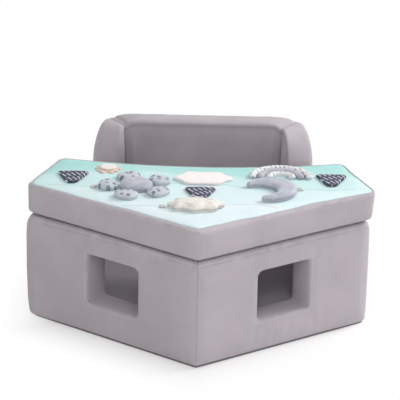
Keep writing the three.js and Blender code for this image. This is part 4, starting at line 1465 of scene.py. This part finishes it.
def cloud():
    cells = (20, 20)
    ring = closed_ring(lobed(CLOUD, 0.050, 0.028, 8, 0.09, math.pi * 1.25), cells)
    return pillow("cloud_soft", ring, cells, MAT_SKIN, MAT_HIGH + 0.0132, 0.022)


def flower():
    cells = (14, 14)
    centre = pillow("flower_centre_soft", closed_ring(lobed(FLOWER, 0.0288, 0.0288, 1, 0.0, math.pi * 1.25), cells),
                    cells, MAT_SKIN, MAT_HIGH + 0.0142, 0.024)
    petals = []
    for number in range(PETALS):
        angle = math.tau * (number + 0.5) / PETALS
        out, side = heading(angle), heading(angle + math.pi / 2)
        middle = FLOWER + out * (0.030 + PETAL_R) * 0.635

        def at(share, middle=middle, out=out, side=side):
            turn = math.pi * 1.25 + math.tau * share
            return middle + out * 0.0178 * math.cos(turn) + side * 0.0214 * math.sin(turn)

        petals.append(pillow(f"flower_petal_{number + 1}_soft", closed_ring(at, (12, 12)), (12, 12), MAT_SKIN,
                             MAT_HIGH + 0.0112, 0.015))
    return centre, petals


moon_soft = assign_padded(moon(), "moon", "grey_plush", "moon_plush")
cloud_soft = assign_padded(cloud(), "cloud", "cream_plush", "cloud_plush")
flower_middle, petals = flower()
assign_padded(flower_middle, "flower", "flower_plain", "flower_centre")
for number, petal in enumerate(petals):
    assign_padded(petal, "flower", "flower_dots", f"flower_petal_{number + 1}")
print("plush shapes", len(petals) + 3)

# %% Sewn-down shapes
RAINBOW, MIST, SUN = on_mat(0.136, 0.250), on_mat(0.004, 0.238), on_mat(-0.160, 0.281)
PENNANTS = [on_mat(-0.218, 0.230), on_mat(0.0, 0.163), on_mat(0.222, 0.240)]
PENNANT_BODIES = ["left_pennant", "middle_pennant", "right_pennant"]


def rainbow():
    arcs = []
    for name, radius in (("inner", 0.020), ("middle", 0.034), ("outer", 0.048)):
        cells = (int(radius * 700), 6)
        ring = arc_ring(RAINBOW, radius, lambda share: 0.0134, 0, math.pi, cells)
        arcs.append(pillow(f"rainbow_{name}_soft", ring, cells, MAT_HIGH - 0.0004, MAT_HIGH + 0.0082, 0.0066))
    return arcs


def patch(name, at, low, high, side=12, rim=0.005):
    cells = (side, side)
    return pillow(name, closed_ring(at, cells), cells, low, high, rim, slack=0.02, pressure=4.0, flat_top=1)


def pennant_edge(middle):
    """A small flag with rounded corners, its wide end to the rear"""
    corners = [np.array(c) for c in ((-0.030, 0.028), (-0.007, -0.028), (0.007, -0.028), (0.030, 0.028))]
    chain = []
    for i, corner in enumerate(corners):
        before, after = corners[i - 1] - corner, corners[(i + 1) % 4] - corner
        near = min(0.010, np.linalg.norm(before) * 0.42, np.linalg.norm(after) * 0.42)
        first = corner + before / np.linalg.norm(before) * near
        last = corner + after / np.linalg.norm(after) * near
        for t in np.linspace(0, 1, 7):
            chain.append(middle + first * (1 - t) ** 2 + corner * 2 * t * (1 - t) + last * t ** 2)
    chain = np.array(chain[3:] + chain[:4])
    along = lengths(chain) / lengths(chain)[-1]
    return lambda share: np.array([np.interp(share, along, chain[:, axis]) for axis in (0, 1)])


ARC_SLOTS = {"inner": "rainbow_white", "middle": "rainbow_grey", "outer": "rainbow_white"}
for arc, (name, slot) in zip(rainbow(), ARC_SLOTS.items()):
    assign_padded(arc, "table_mat", slot, f"rainbow_{name}")
mist = patch("mist_soft", lobed(MIST, 0.052, 0.034, 6, 0.07, math.pi * 1.25), MAT_HIGH - 0.0008, MAT_HIGH + 0.0052,
             side=20)
assign_padded(mist, "table_mat", "pale_fabric", "mist_patch")
sun_rays = patch("sun_rays_soft", lobed(SUN, 0.025, 0.025, 10, 0.16, math.pi * 1.25), MAT_HIGH - 0.0008,
                 MAT_HIGH + 0.0026, side=20, rim=0.002)
sun_disc = patch("sun_disc_soft", lobed(SUN, 0.015, 0.015, 1, 0.0, math.pi * 1.25), MAT_HIGH + 0.0022,
                 MAT_HIGH + 0.0059, side=10, rim=0.004)
assign_padded(sun_rays, "table_mat", "peach_fabric", "sun_rays")
assign_padded(sun_disc, "table_mat", "white_fabric", "sun_disc")
flags = []
for number, middle in enumerate(PENNANTS):
    flag = patch(f"pennant_{number + 1}_soft", pennant_edge(middle), MAT_SKIN, MAT_HIGH + 0.0055, side=16, rim=0.006)
    flags.append(assign_padded(flag, PENNANT_BODIES[number], "navy_fabric", f"pennant_{number + 1}"))
print("sewn shapes", 3 + 3 + len(PENNANTS))

# %% [markdown]
# ## Stitches by rule
# A seam has hundreds of equal stitches, a zip has equal teeth, hook tape has rows of equal hooks, and the
# underside has rows of equal grip dots. All of these are one rule: walk along a line in equal steps and set down
# a small bead, its long side along the line or turned across it. Geometry Nodes do that, so one tree makes them
# all, and only its sizes change. The lines are plain edges that carry the direction away from the cloth.

# %% A tree that sets beads along lines
def bead_tree():
    tree = bpy.data.node_groups.new("beads along lines", "GeometryNodeTree")
    tree.interface.new_socket("Geometry", in_out="INPUT", socket_type="NodeSocketGeometry")
    for label, value in (("Pitch", 0.003), ("Length", 0.002), ("Width", 0.0007), ("Height", 0.0006), ("Turn", 0.0),
                         ("Unevenness", 0.06)):
        tree.interface.new_socket(label, in_out="INPUT", socket_type="NodeSocketFloat").default_value = value
    tree.interface.new_socket("Seed", in_out="INPUT", socket_type="NodeSocketInt").default_value = SEED
    tree.interface.new_socket("Finish", in_out="INPUT", socket_type="NodeSocketMaterial")
    tree.interface.new_socket("Geometry", in_out="OUTPUT", socket_type="NodeSocketGeometry")

    def add(kind, links=None, **settings):
        node = tree.nodes.new(kind)
        for key, value in settings.items():
            setattr(node, key, value)
        for key, value in (links or {}).items():
            if isinstance(value, bpy.types.NodeSocket):
                tree.links.new(value, node.inputs[key])
            else:
                node.inputs[key].default_value = value
        return node.outputs

    given = add("NodeGroupInput")
    curve = add("GeometryNodeMeshToCurve", {"Mesh": given["Geometry"]})
    steps = add("GeometryNodeCurveToPoints", {"Curve": curve[0], "Length": given["Pitch"]}, mode="LENGTH")
    away = add("GeometryNodeInputNamedAttribute", {"Name": "up"}, data_type="FLOAT_VECTOR")
    lie = add("FunctionNodeAxesToRotation", {0: steps["Tangent"], 1: away[0]}, primary_axis="X", secondary_axis="Z")
    loose = add("ShaderNodeMath", {0: given["Unevenness"], 1: -1.0}, operation="MULTIPLY")
    chance = add("FunctionNodeRandomValue", {"Seed": given["Seed"], 2: loose[0], 3: given["Unevenness"]},
                 data_type="FLOAT")
    turn = add("ShaderNodeMath", {0: given["Turn"], 1: chance[1]}, operation="ADD")
    spin = add("ShaderNodeCombineXYZ", {"Z": turn[0]})
    turned = add("FunctionNodeRotateRotation", {0: lie[0], 1: spin[0]}, rotation_space="LOCAL")
    size = add("ShaderNodeCombineXYZ", {"X": given["Length"], "Y": given["Width"], "Z": given["Height"]})
    grow = add("ShaderNodeMath", {0: chance[1], 1: 1.0}, operation="ADD")
    scale = add("ShaderNodeVectorMath", {0: size[0], "Scale": grow[0]}, operation="SCALE")
    bead = add("GeometryNodeMeshUVSphere", {"Segments": 6, "Rings": 4, "Radius": 0.5})
    many = add("GeometryNodeInstanceOnPoints",
               {"Points": steps["Points"], "Instance": bead["Mesh"], "Rotation": turned[0], "Scale": scale[0]})
    real = add("GeometryNodeRealizeInstances", {0: many[0]})
    dressed = add("GeometryNodeSetMaterial", {"Geometry": real[0], "Material": given["Finish"]})
    add("NodeGroupOutput", {"Geometry": dressed[0]})
    return tree


BEADS = bead_tree()
print("bead tree inputs", [item.name for item in BEADS.interface.items_tree if item.in_out == "INPUT"])

# %% Beads on a body
def beads(name, lines, look, slot, body, *nodes, pitch, size, turn=0.0, uneven=0.06):
    """Makes one mesh of beads along lines. A line is its points and the directions away from the cloth there."""
    points = np.concatenate([line for line, _ in lines])
    ups = np.concatenate([up for _, up in lines])
    edges, start = [], 0
    for line, _ in lines:
        edges += [(i, i + 1) for i in range(start, start + len(line) - 1)]
        start += len(line)
    mesh = bpy.data.meshes.new(name)
    mesh.from_pydata(points.tolist(), edges, [])
    mesh.attributes.new("up", "FLOAT_VECTOR", "POINT").data.foreach_set("vector", ups.ravel())
    piece = add_object(name, mesh)
    rule = piece.modifiers.new("beads", "NODES")
    rule.node_group = BEADS
    sizes = {"Pitch": pitch, "Length": size[0], "Width": size[1], "Height": size[2], "Turn": turn,
             "Unevenness": uneven, "Seed": SEED, "Finish": LOOKS[look]}
    for item in BEADS.interface.items_tree:
        if item.name in sizes:
            rule[item.identifier] = sizes[item.name]
    solid = piece.evaluated_get(bpy.context.evaluated_depsgraph_get())
    piece.data = bpy.data.meshes.new_from_object(solid)
    piece.modifiers.remove(rule)
    piece.data.name = name
    piece.data.shade_smooth()
    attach(piece, body)
    if nodes:
        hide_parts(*nodes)
    return piece


def skin(piece):
    """The finished surface of a piece, to lay threads on"""
    return BVHTree.FromObject(piece, bpy.context.evaluated_depsgraph_get())


def lie_on(surface, points, toward, lift=0.0001):
    """Points moved onto a surface, found from a little way out, with the directions away from it"""
    places, ups = [], []
    for point, out in zip(points, np.broadcast_to(toward, np.shape(points))):
        place, up, _, _ = surface.find_nearest(Vector(point) + Vector(out) * 0.0015)
        places.append(place + up * lift)
        ups.append(up)
    return np.array(places), np.array(ups)


def drop_on(surface, points, lift=0.0001):
    """Points let down from above onto a surface. Points that miss it are left out."""
    places, ups = [], []
    for x, y in np.asarray(points)[:, :2]:
        place, up, _, _ = surface.ray_cast(Vector((x, y, MAT_HIGH + 0.05)), Vector((0, 0, -1)))
        if place:
            places.append(place + up * lift)
            ups.append(up)
    return np.array(places), np.array(ups)


def facing(points, up):
    """A line of beads whose points all face one way"""
    return points, np.broadcast_to(up, points.shape)


print("bead makers ready")

# %% [markdown]
# ## Seams of the covers
# Where the top strip meets the side panels the cloth is topstitched just below the seam, and so are the corner
# seams, the hem above the floor and the rims of the windows. The thread is a shade paler than the cloth. The
# lines are taken from the cloth's own rows, moved a little off the seam, and then laid on the finished surface.

# %% Seam lines on the covers
TOPSTITCH = dict(pitch=0.0034, size=(0.0026, 0.00055, 0.0005))
SEAM_OFF, HEM_STITCH = 0.0024, 0.0135


def beside(cage, row, next_row, off):
    """A line beside a row of the cloth, moved towards the next row"""
    here, there = cage[row], cage[next_row]
    way = there - here
    return here + way / np.linalg.norm(way, axis=1)[:, None] * off


def cover_lines(piece, rows, seams):
    cage, normals, surface = places_of(piece), outward(piece), skin(piece)
    hem = len(TURN_IN) + 1
    paths = [(rows[seams[0]], rows[seams[0] - 2]), (rows[seams[1]], rows[seams[1] + 2])]
    for end, inner in ((0, 2), (-1, -3)):
        paths.append((rows[hem:seams[0], end], rows[hem:seams[0], inner]))
    lines = [lie_on(surface, beside(cage, a, b, SEAM_OFF), normals[a]) for a, b in paths]
    low = rows[hem]
    lines.append(lie_on(surface, at_height(cage[low][:, :2], HEM_STITCH), normals[low]))
    return lines


def window_lines(piece, mirrored):
    plan, surface = wall_plan(0), skin(piece)
    lines = []
    for across in (0.0, WALL):
        ring = rounded_loop(0.0052)
        points = np.array([(*plan(s, across), z) for s, z in [*ring, ring[0]]])
        out = wall_axes(0)[0] * (1 if across == 0 else -1)
        if mirrored:
            points, out = points * (-1, 1, 1), out * (-1, 1)
        lines.append(lie_on(surface, points, (*out, 0)))
    return lines


seam_lines = []
for node, (piece, rows, seams, rims, low_lines) in covers.items():
    seam_lines += cover_lines(piece, rows, seams)
    if rims:
        seam_lines += window_lines(piece, node == "cover_left")
base_stitches = beads("base_stitches", seam_lines, "thread", "grey_fabric", "base", **TOPSTITCH)
print("stitches on the base", len(base_stitches.data.polygons) // 24)

# %% Seam line of the mat
def ring_line(surface, ring, toward=(0, 0, 1)):
    points = np.concatenate([ring, ring[:1]])
    return lie_on(surface, points, toward)


mat_line = ring_line(skin(mat_side), fuller(ring_in(seam_wander() - 0.0021)), (0, 0, 0.4))
mat_stitches = beads("mat_stitches", [mat_line], "thread", "grey_fabric", "table_mat", **TOPSTITCH)
print("stitches on the mat", len(mat_stitches.data.polygons) // 24)

# %% [markdown]
# ## Threads on the print
# Two quilted lines follow the rolling bands of the print, in slate blue thread. The flat patches have a close
# satin stitch round their edges, whose threads lie across the edge, and the stuffed shapes carry a few sewn
# lines. Threads that ride on a loose shape belong to that shape, so they turn with it.

# %% Quilted waves
def band_edge(start, swing, turns, shift, off):
    """The same curve as the print's band, as points on the mat"""
    x = np.linspace(-0.262, 0.262, 200)
    y = start + off + swing * np.sin(x * turns + shift) + swing * 0.3 * np.sin(x * turns * 2.7 + shift * 3)
    return np.column_stack([x, y])


PRINT_MARGIN = 0.016


def inside_ring(ring, points):
    """Only the points that lie inside a closed ring"""
    ahead = np.roll(ring, -1, axis=0)
    keep = []
    for x, y in points:
        crossed = (ring[:, 1] > y) != (ahead[:, 1] > y)
        at = ring[:, 0] + (y - ring[:, 1]) / np.where(crossed, ahead[:, 1] - ring[:, 1], 1) * (ahead - ring)[:, 0]
        keep.append(np.count_nonzero(crossed & (x < at)) % 2 == 1)
    return points[keep]


print_skin = skin(mat_print)
quilt_ring = mat_ring(PRINT_MARGIN)
quilted = [drop_on(print_skin, inside_ring(quilt_ring, band_edge(*band[:4], off)))
           for band, off in ((BANDS[0], -0.007), (BANDS[1], 0.012))]
beads("print_stitches", quilted, "slate thread", "print_fabric", "table_mat", pitch=0.0046,
      size=(0.0031, 0.0007, 0.0006))
print("quilted lines", [len(points) for points, _ in quilted])

# %% Stitches on patches and shapes
def inner_ring(piece, count, inset):
    """The outline of a pillow, moved in a little and laid on its top"""
    ring = places_of(piece)[:count, :2]
    middle = ring.mean(0)
    ahead, behind = np.roll(ring, -1, axis=0), np.roll(ring, 1, axis=0)
    way = (ahead - behind) / np.linalg.norm(ahead - behind, axis=1)[:, None]
    inward = np.column_stack([-way[:, 1], way[:, 0]])
    inward *= np.sign(np.sum(inward * (middle - ring), axis=1).sum())
    points = ring + inward * inset
    return drop_on(skin(piece), np.concatenate([points, points[:1]]))


SATIN = dict(pitch=0.00085, size=(0.0026, 0.0008, 0.0006), turn=math.pi / 2)
beads("mist_edge", [inner_ring(mist, 80, 0.0016)], "pale thread", "pale_fabric", "table_mat", **SATIN)
beads("sun_edge", [inner_ring(sun_rays, 80, 0.0014), inner_ring(sun_disc, 40, 0.0013)], "pale thread",
      "white_fabric", "table_mat", pitch=0.0008, size=(0.0021, 0.0007, 0.0005), turn=math.pi / 2)
for number, flag in enumerate(flags):
    beads(f"pennant_{number + 1}_stitches", [inner_ring(flag, 64, 0.0034)], "pale thread", "navy_fabric",
          PENNANT_BODIES[number], pitch=0.0030, size=(0.0020, 0.0006, 0.0005))


moon_arcs = [turn_round(MOON, MOON_R + 0.004, MOON_TILT - 1.5, MOON_TILT + 1.5, 59)]
cloud_arcs = [turn_round(CLOUD + shift, 0.011, 0.5, 2.6, 23)
              for shift in ((-0.024, -0.006), (0.002, 0.0), (0.025, -0.007))]
flower_arcs = [turn_round(FLOWER, radius, 0, math.tau, 59) for radius in (0.008, 0.0165)]
for name, piece, arcs, look, slot, pitch, long in (
        ("moon", moon_soft, moon_arcs, "slate thread", "grey_plush", 0.0042, 0.0030),
        ("cloud", cloud_soft, cloud_arcs, "slate thread", "cream_plush", 0.0036, 0.0026),
        ("flower", flower_middle, flower_arcs, "pale thread", "flower_plain", 0.0034, 0.0025)):
    lines = [drop_on(skin(piece), arc) for arc in arcs]
    beads(f"{name}_stitches", lines, look, slot, name, pitch=pitch, size=(long, 0.0008, 0.0007))
print("stitched patches and shapes", 3 + len(flags) + 3)

# %% [markdown]
# ## Straps of woven tape
# Hook tape, loop tape, zip tape and ribbon are all narrow straps. One helper makes a strap: it carries a thin
# closed section along a path and shuts both ends. The section has soft edges, and the strap ripples a little, as
# sewn tape does.

# %% Straps
def strap(name, path, across, up, width, low, high, cells=10, ripple=0.00008):
    """A thin closed strap along a path. Across and up are directions at each point of the path."""
    path = np.asarray(path, float)
    across, up = np.broadcast_to(across, path.shape), np.broadcast_to(up, path.shape)
    cloth = Cloth()
    shares = np.linspace(-0.5, 0.5, cells + 1)
    under = np.array([low + 0.22 * (high - low) * (abs(share) > 0.499) for share in shares])
    over = np.array([high - 0.3 * (high - low) * (abs(share) > 0.499) for share in shares])
    rings = []
    for i, (place, side, out) in enumerate(zip(path, across, up)):
        wave = [ripple * (noise.noise(Vector(place + side * width * share) * 60) - 0.5) for share in shares]
        bottom = [place + side * width * share + out * height for share, height in zip(shares, under)]
        top = [place + side * width * share + out * (height + min(0, w)) for share, height, w in
               zip(shares, over, wave)]
        rings.append(cloth.row([*bottom, *top[::-1]]))
    along = lengths(path)
    girth = [*(shares * width), *(shares[::-1] * width)]
    count = len(rings[0])
    for i in range(len(rings) - 1):
        for j in range(count):
            k = (j + 1) % count
            flat = ((along[i], girth[j]), (along[i + 1], girth[j]), (along[i + 1], girth[k]), (along[i], girth[k]))
            cloth.face((rings[i][j], rings[i + 1][j], rings[i + 1][k], rings[i][k]), flat)
    for ring, flip in ((rings[0], False), (rings[-1], True)):
        for j in range(cells):
            corners = (ring[j], ring[j + 1], ring[count - 2 - j], ring[count - 1 - j])
            flat = ((0, girth[j]), (0, girth[j + 1]), (0.001, girth[j + 1]), (0.001, girth[j]))
            cloth.face(corners[::-1] if flip else corners, flat[::-1] if flip else flat)
    piece = cloth.piece(name)
    work = bmesh.new()
    work.from_mesh(piece.data)
    bmesh.ops.recalc_face_normals(work, faces=work.faces)
    work.to_mesh(piece.data)
    work.free()
    plain_marks(piece)
    return piece


def place_strap(piece, slot, body, nodes, flat):
    assign(piece, body, slot, *nodes)
    return piece


print("strap maker ready")

# %% Hook tape and loop tape
TAPE_W, FRONT_TAPE, SIDE_TAPE, SIDE_START = 0.025, 0.240, 0.090, 0.026
TAPE_RUNS = [("front_right", 0, (SIDE - FRONT_TAPE) / 2, FRONT_TAPE), ("side_right", 1, SIDE_START, SIDE_TAPE),
             ("side_left", 3, SIDE - SIDE_START - SIDE_TAPE, SIDE_TAPE),
             ("front_left", 4, (SIDE - FRONT_TAPE) / 2, FRONT_TAPE)]
TAPE_BORDER, TAPE_STITCH = 0.0105, dict(pitch=0.003, size=(0.0021, 0.0005, 0.0003))
HOOK_LOW, HOOK_HIGH = z_span("hook_strip_front_left")
LOOP_LOW, LOOP_HIGH = z_span("loop_strip_front_left")


def tape_run(k, start, length):
    """Points along the middle of wall k, and the direction across it"""
    out, along = wall_axes(k)
    first = corner_point(k) + along * start - out * (WALL / 2)
    marks = np.linspace(0, length, int(length / 0.004) + 1)
    return first + marks[:, None] * along, out


hook_lines, hook_borders, loop_borders = [], [], []
for name, k, start, length in TAPE_RUNS:
    middle, out = tape_run(k, start, length)
    across = (*out, 0)
    for kind, low, high, way, body, cover, borders in (
            ("hook", HOOK_LOW, HOOK_HIGH, 1, "base", None, hook_borders),
            ("loop", LOOP_HIGH, LOOP_LOW, -1, "table_mat", "mat_band_cloth", loop_borders)):
        cover = cover or ("cover_left_cloth" if name.endswith("left") else "cover_right_cloth")
        path = at_height(middle, low)
        thick = abs(high - low) * (0.62 if kind == "hook" else 0.95)
        tape = strap(f"{kind}_tape_{name}", path, across, (0, 0, way), TAPE_W, 0.0, thick)
        place_strap(tape, f"{kind}_tape", body, [f"{kind}_strip_{name}"], (TAPE_W, length))
        face = low + way * thick
        for side in (-TAPE_BORDER, TAPE_BORDER):
            borders.append(facing(at_height(middle + out * side, face), (0, 0, way)))
        if kind == "hook":
            for side in np.arange(-0.0085, 0.0087, 0.0017):
                hook_lines.append(facing(at_height(middle + out * side, face + 0.0001)[1:-1], (0, 0, 1)))
beads("hooks", hook_lines, "hook_tape", "hook_tape", "base", pitch=0.0019, size=(0.0009, 0.0005, 0.0007), uneven=0.2)
beads("hook_tape_stitches", hook_borders, "thread", "hook_tape", "base", **TAPE_STITCH)
beads("loop_tape_stitches", loop_borders, "thread", "loop_tape", "table_mat", **TAPE_STITCH)
print("tape strips", len(TAPE_RUNS) * 2, "rows of hooks", len(hook_lines))

# %% [markdown]
# ## Ribbons
# A short folded ribbon ties each loose shape to the mat. It is one strip of satin, doubled over, with the fold
# away from the shape and a bar of stitches across each end.

# %% Folded ribbons
RIBBON_W, RIBBON_LENGTH = 0.014, 0.010
RIBBONS = [("moon_ribbon", 110), ("cloud_ribbon", 90), ("flower_ribbon", 90), ("pennant_ribbon_1", 0),
           ("pennant_ribbon_2", 0), ("pennant_ribbon_3", 0)]


def folded_ribbon(name, degrees):
    low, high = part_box(name)
    side = heading(math.radians(degrees))
    away = np.array([-side[1], side[0]])
    middle = np.array([(low.x + high.x) / 2, (low.y + high.y) / 2])
    near = middle - away * RIBBON_LENGTH / 2
    fold = [(0.0003, 0.00022), (0.002, 0.00022), (0.005, 0.00022), (0.0085, 0.00022), (0.0094, 0.00026),
            (0.0097, 0.00045), (0.0097, 0.0006), (0.0094, 0.0008), (0.0085, 0.0009), (0.006, 0.00099),
            (0.003, 0.00096), (0.0006, 0.0009)]
    path = np.array([(*(near + away * reach), low.z + rise) for reach, rise in fold])
    way = np.gradient(path, axis=0)
    way /= np.linalg.norm(way, axis=1)[:, None]
    ups = np.cross((*side, 0), way)
    piece = strap(f"{name}_satin", path, (*side, 0), ups, RIBBON_W, -0.00016, 0.00016, cells=8, ripple=0.0)
    place_strap(piece, "ribbon", "table_mat", [name], (RIBBON_W, lengths(path)[-1]))
    bars = []
    for reach in (0.0022, 0.0080):
        points = np.array([(*(near + away * reach + side * share), low.z + 0.00112)
                           for share in np.linspace(-0.0058, 0.0058, 12)])
        bars.append(facing(points, (0, 0, 1)))
    return bars


ribbon_bars = []
for name, degrees in RIBBONS:
    ribbon_bars += folded_ribbon(name, degrees)
beads("ribbon_stitches", ribbon_bars, "slate thread", "ribbon", "table_mat", pitch=0.0019,
      size=(0.0014, 0.0005, 0.0003))
print("ribbons", len(RIBBONS))

# %% [markdown]
# ## Zips
# One zip lies low on the back of the base and one along the mat's hollow rear side. Each has a woven tape, a
# coil of nylon whose turns show as two rows of small teeth, and a plated slider with a pull. The slider and the
# pull are rigid, so the model's own shapes are kept, merged and given rounded edges.

# %% Tapes and teeth
ZIP_W, ZIP_ENDS = 0.024, 0.020


def base_path(length, off, steps=60):
    """Places along the base's zip, off metres out from its tape's back, and the direction out"""
    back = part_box("base_zip_tape")[0].y
    height = sum(z_span("base_zip_tape")) / 2
    x = np.linspace(length / 2, -length / 2, steps)
    places = np.column_stack([x, np.full(steps, back + off), np.full(steps, height)])
    return facing(places, (0.0, 1.0, 0.0))


def mat_path(length, off, steps=60):
    """The same on the mat, along the arc of its rear side"""
    height = sum(z_span("mat_zip_tape")) / 2
    turns = np.linspace(length / 2, -length / 2, steps) / REAR_R - math.pi / 2
    radius = REAR_R - 0.0003 - off
    places = np.array([(*(REAR_MIDDLE + heading(turn) * radius), height) for turn in turns])
    return places, np.array([(*-heading(turn), 0.0) for turn in turns])


for zip_name, path, body, length, cover in (("base_zip", base_path, "base", 0.250, "cover_back_cloth"),
                                            ("mat_zip", mat_path, "table_mat", 0.190, "mat_band_cloth")):
    places, out = path(length + ZIP_ENDS, 0.0)
    tape = strap(f"{zip_name}_woven_tape", places, (0, 0, 1), out, ZIP_W, 0.0, 0.0009, cells=12, ripple=0.0003)
    place_strap(tape, "zip_tape", body, [f"{zip_name}_tape"], (ZIP_W, length + ZIP_ENDS))
    rows = []
    for side, late in ((-0.00115, 0.0), (0.00115, 0.0006)):
        places, out = path(length - 2 * late, 0.0020)
        rows.append((places + (0, 0, side), out))
    beads(f"{zip_name}_teeth", rows, "zip_coil", "zip_coil", body, f"{zip_name}_coil", pitch=0.0012,
          size=(0.0026, 0.0010, 0.0015), turn=math.pi / 2, uneven=0.0)
    rows = []
    for side in (-0.0098, -0.0040, 0.0040, 0.0098):
        places, out = path(length + 0.016, 0.00085)
        rows.append((places + (0, 0, side), out))
    beads(f"{zip_name}_stitches", rows, "thread", "zip_tape", body, pitch=0.003, size=(0.0022, 0.0005, 0.0004))
print("zips", 2)

# %% Sliders and pulls
def plated(node, body):
    """A copy of a rigid part with its points merged, flat faces joined and edges rounded"""
    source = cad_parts[node]
    mesh = source.data.copy()
    mesh.transform(source.matrix_world)
    mesh.materials.clear()
    work = bmesh.new()
    work.from_mesh(mesh)
    bmesh.ops.remove_doubles(work, verts=work.verts, dist=1e-6)
    bmesh.ops.dissolve_limit(work, angle_limit=math.radians(1), verts=work.verts, edges=work.edges)
    bmesh.ops.recalc_face_normals(work, faces=work.faces)
    work.to_mesh(mesh)
    work.free()
    piece = add_object(f"{node}_plated", mesh)
    bevel = piece.modifiers.new("round edges", "BEVEL")
    bevel.width, bevel.segments, bevel.limit_method, bevel.angle_limit = 0.00035, 2, "ANGLE", math.radians(35)
    bevel.harden_normals = False
    return assign(piece, body, "zip_metal", node)


for node in ("base_zip_slider", "base_zip_pull", "mat_zip_slider", "mat_zip_pull"):
    plated(node, node.replace("_zip", ""))
print("plated parts", 4)

# %% [markdown]
# ## Underside
# A rubbery cloth with raised dots keeps the seat from sliding. It is a thin flat sheet under the walls and the
# pad, its rim turns up a little inside the covers, and the dots stand down from it to the floor.

# %% Non-slip sheet
SHEET_LOW, SHEET_TOP, DOT_STEP = 0.0006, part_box("non_slip_sheet")[1].z, 0.013


def sheet_ring(inset):
    return five_corner_ring(inset, CORNER_R)


def grip_sheet():
    cloth = Cloth()
    rings = [cloth.row([(*p, z) for p in sheet_ring(inset)])
             for inset, z in ((0.0016, SHEET_LOW), (0.0012, SHEET_LOW + 0.0004), (0.0012, 0.0052), (0.0015, 0.0055),
                              (0.0017, 0.0052), (0.0018, SHEET_TOP), (0.0030, SHEET_TOP))]
    along = cloth.around(rings[0])
    for low, high in zip(rings, rings[1:]):
        cloth.band(low, high, along, (0, 0.0005), closed=True)
    fill_middle(cloth, rings[0], SHEET_LOW, upward=False)
    fill_middle(cloth, rings[-1], SHEET_TOP)
    piece = cloth.piece("grip_sheet")
    plain_marks(piece)
    return piece


sheet = grip_sheet()
assign(sheet, "base", "non_slip_fabric", "non_slip_sheet")
outline = sheet_ring(0.0012)
dot_rows = []
for number, y in enumerate(np.arange(outline[:, 1].min() + 0.012, outline[:, 1].max() - 0.008, DOT_STEP * 0.87)):
    x = np.arange(-0.30, 0.30, DOT_STEP / 4) + DOT_STEP / 2 * (number % 2)
    row = inside_ring(sheet_ring(0.009), at_height(x, y))
    if len(row) > 4:
        dot_rows.append(facing(at_height(row, SHEET_LOW), (0, 0, -1)))
dots = beads("grip_dots", dot_rows, "grip", "non_slip_fabric", "base", pitch=DOT_STEP, size=(0.0048, 0.0048, 0.0012),
             uneven=0.0)
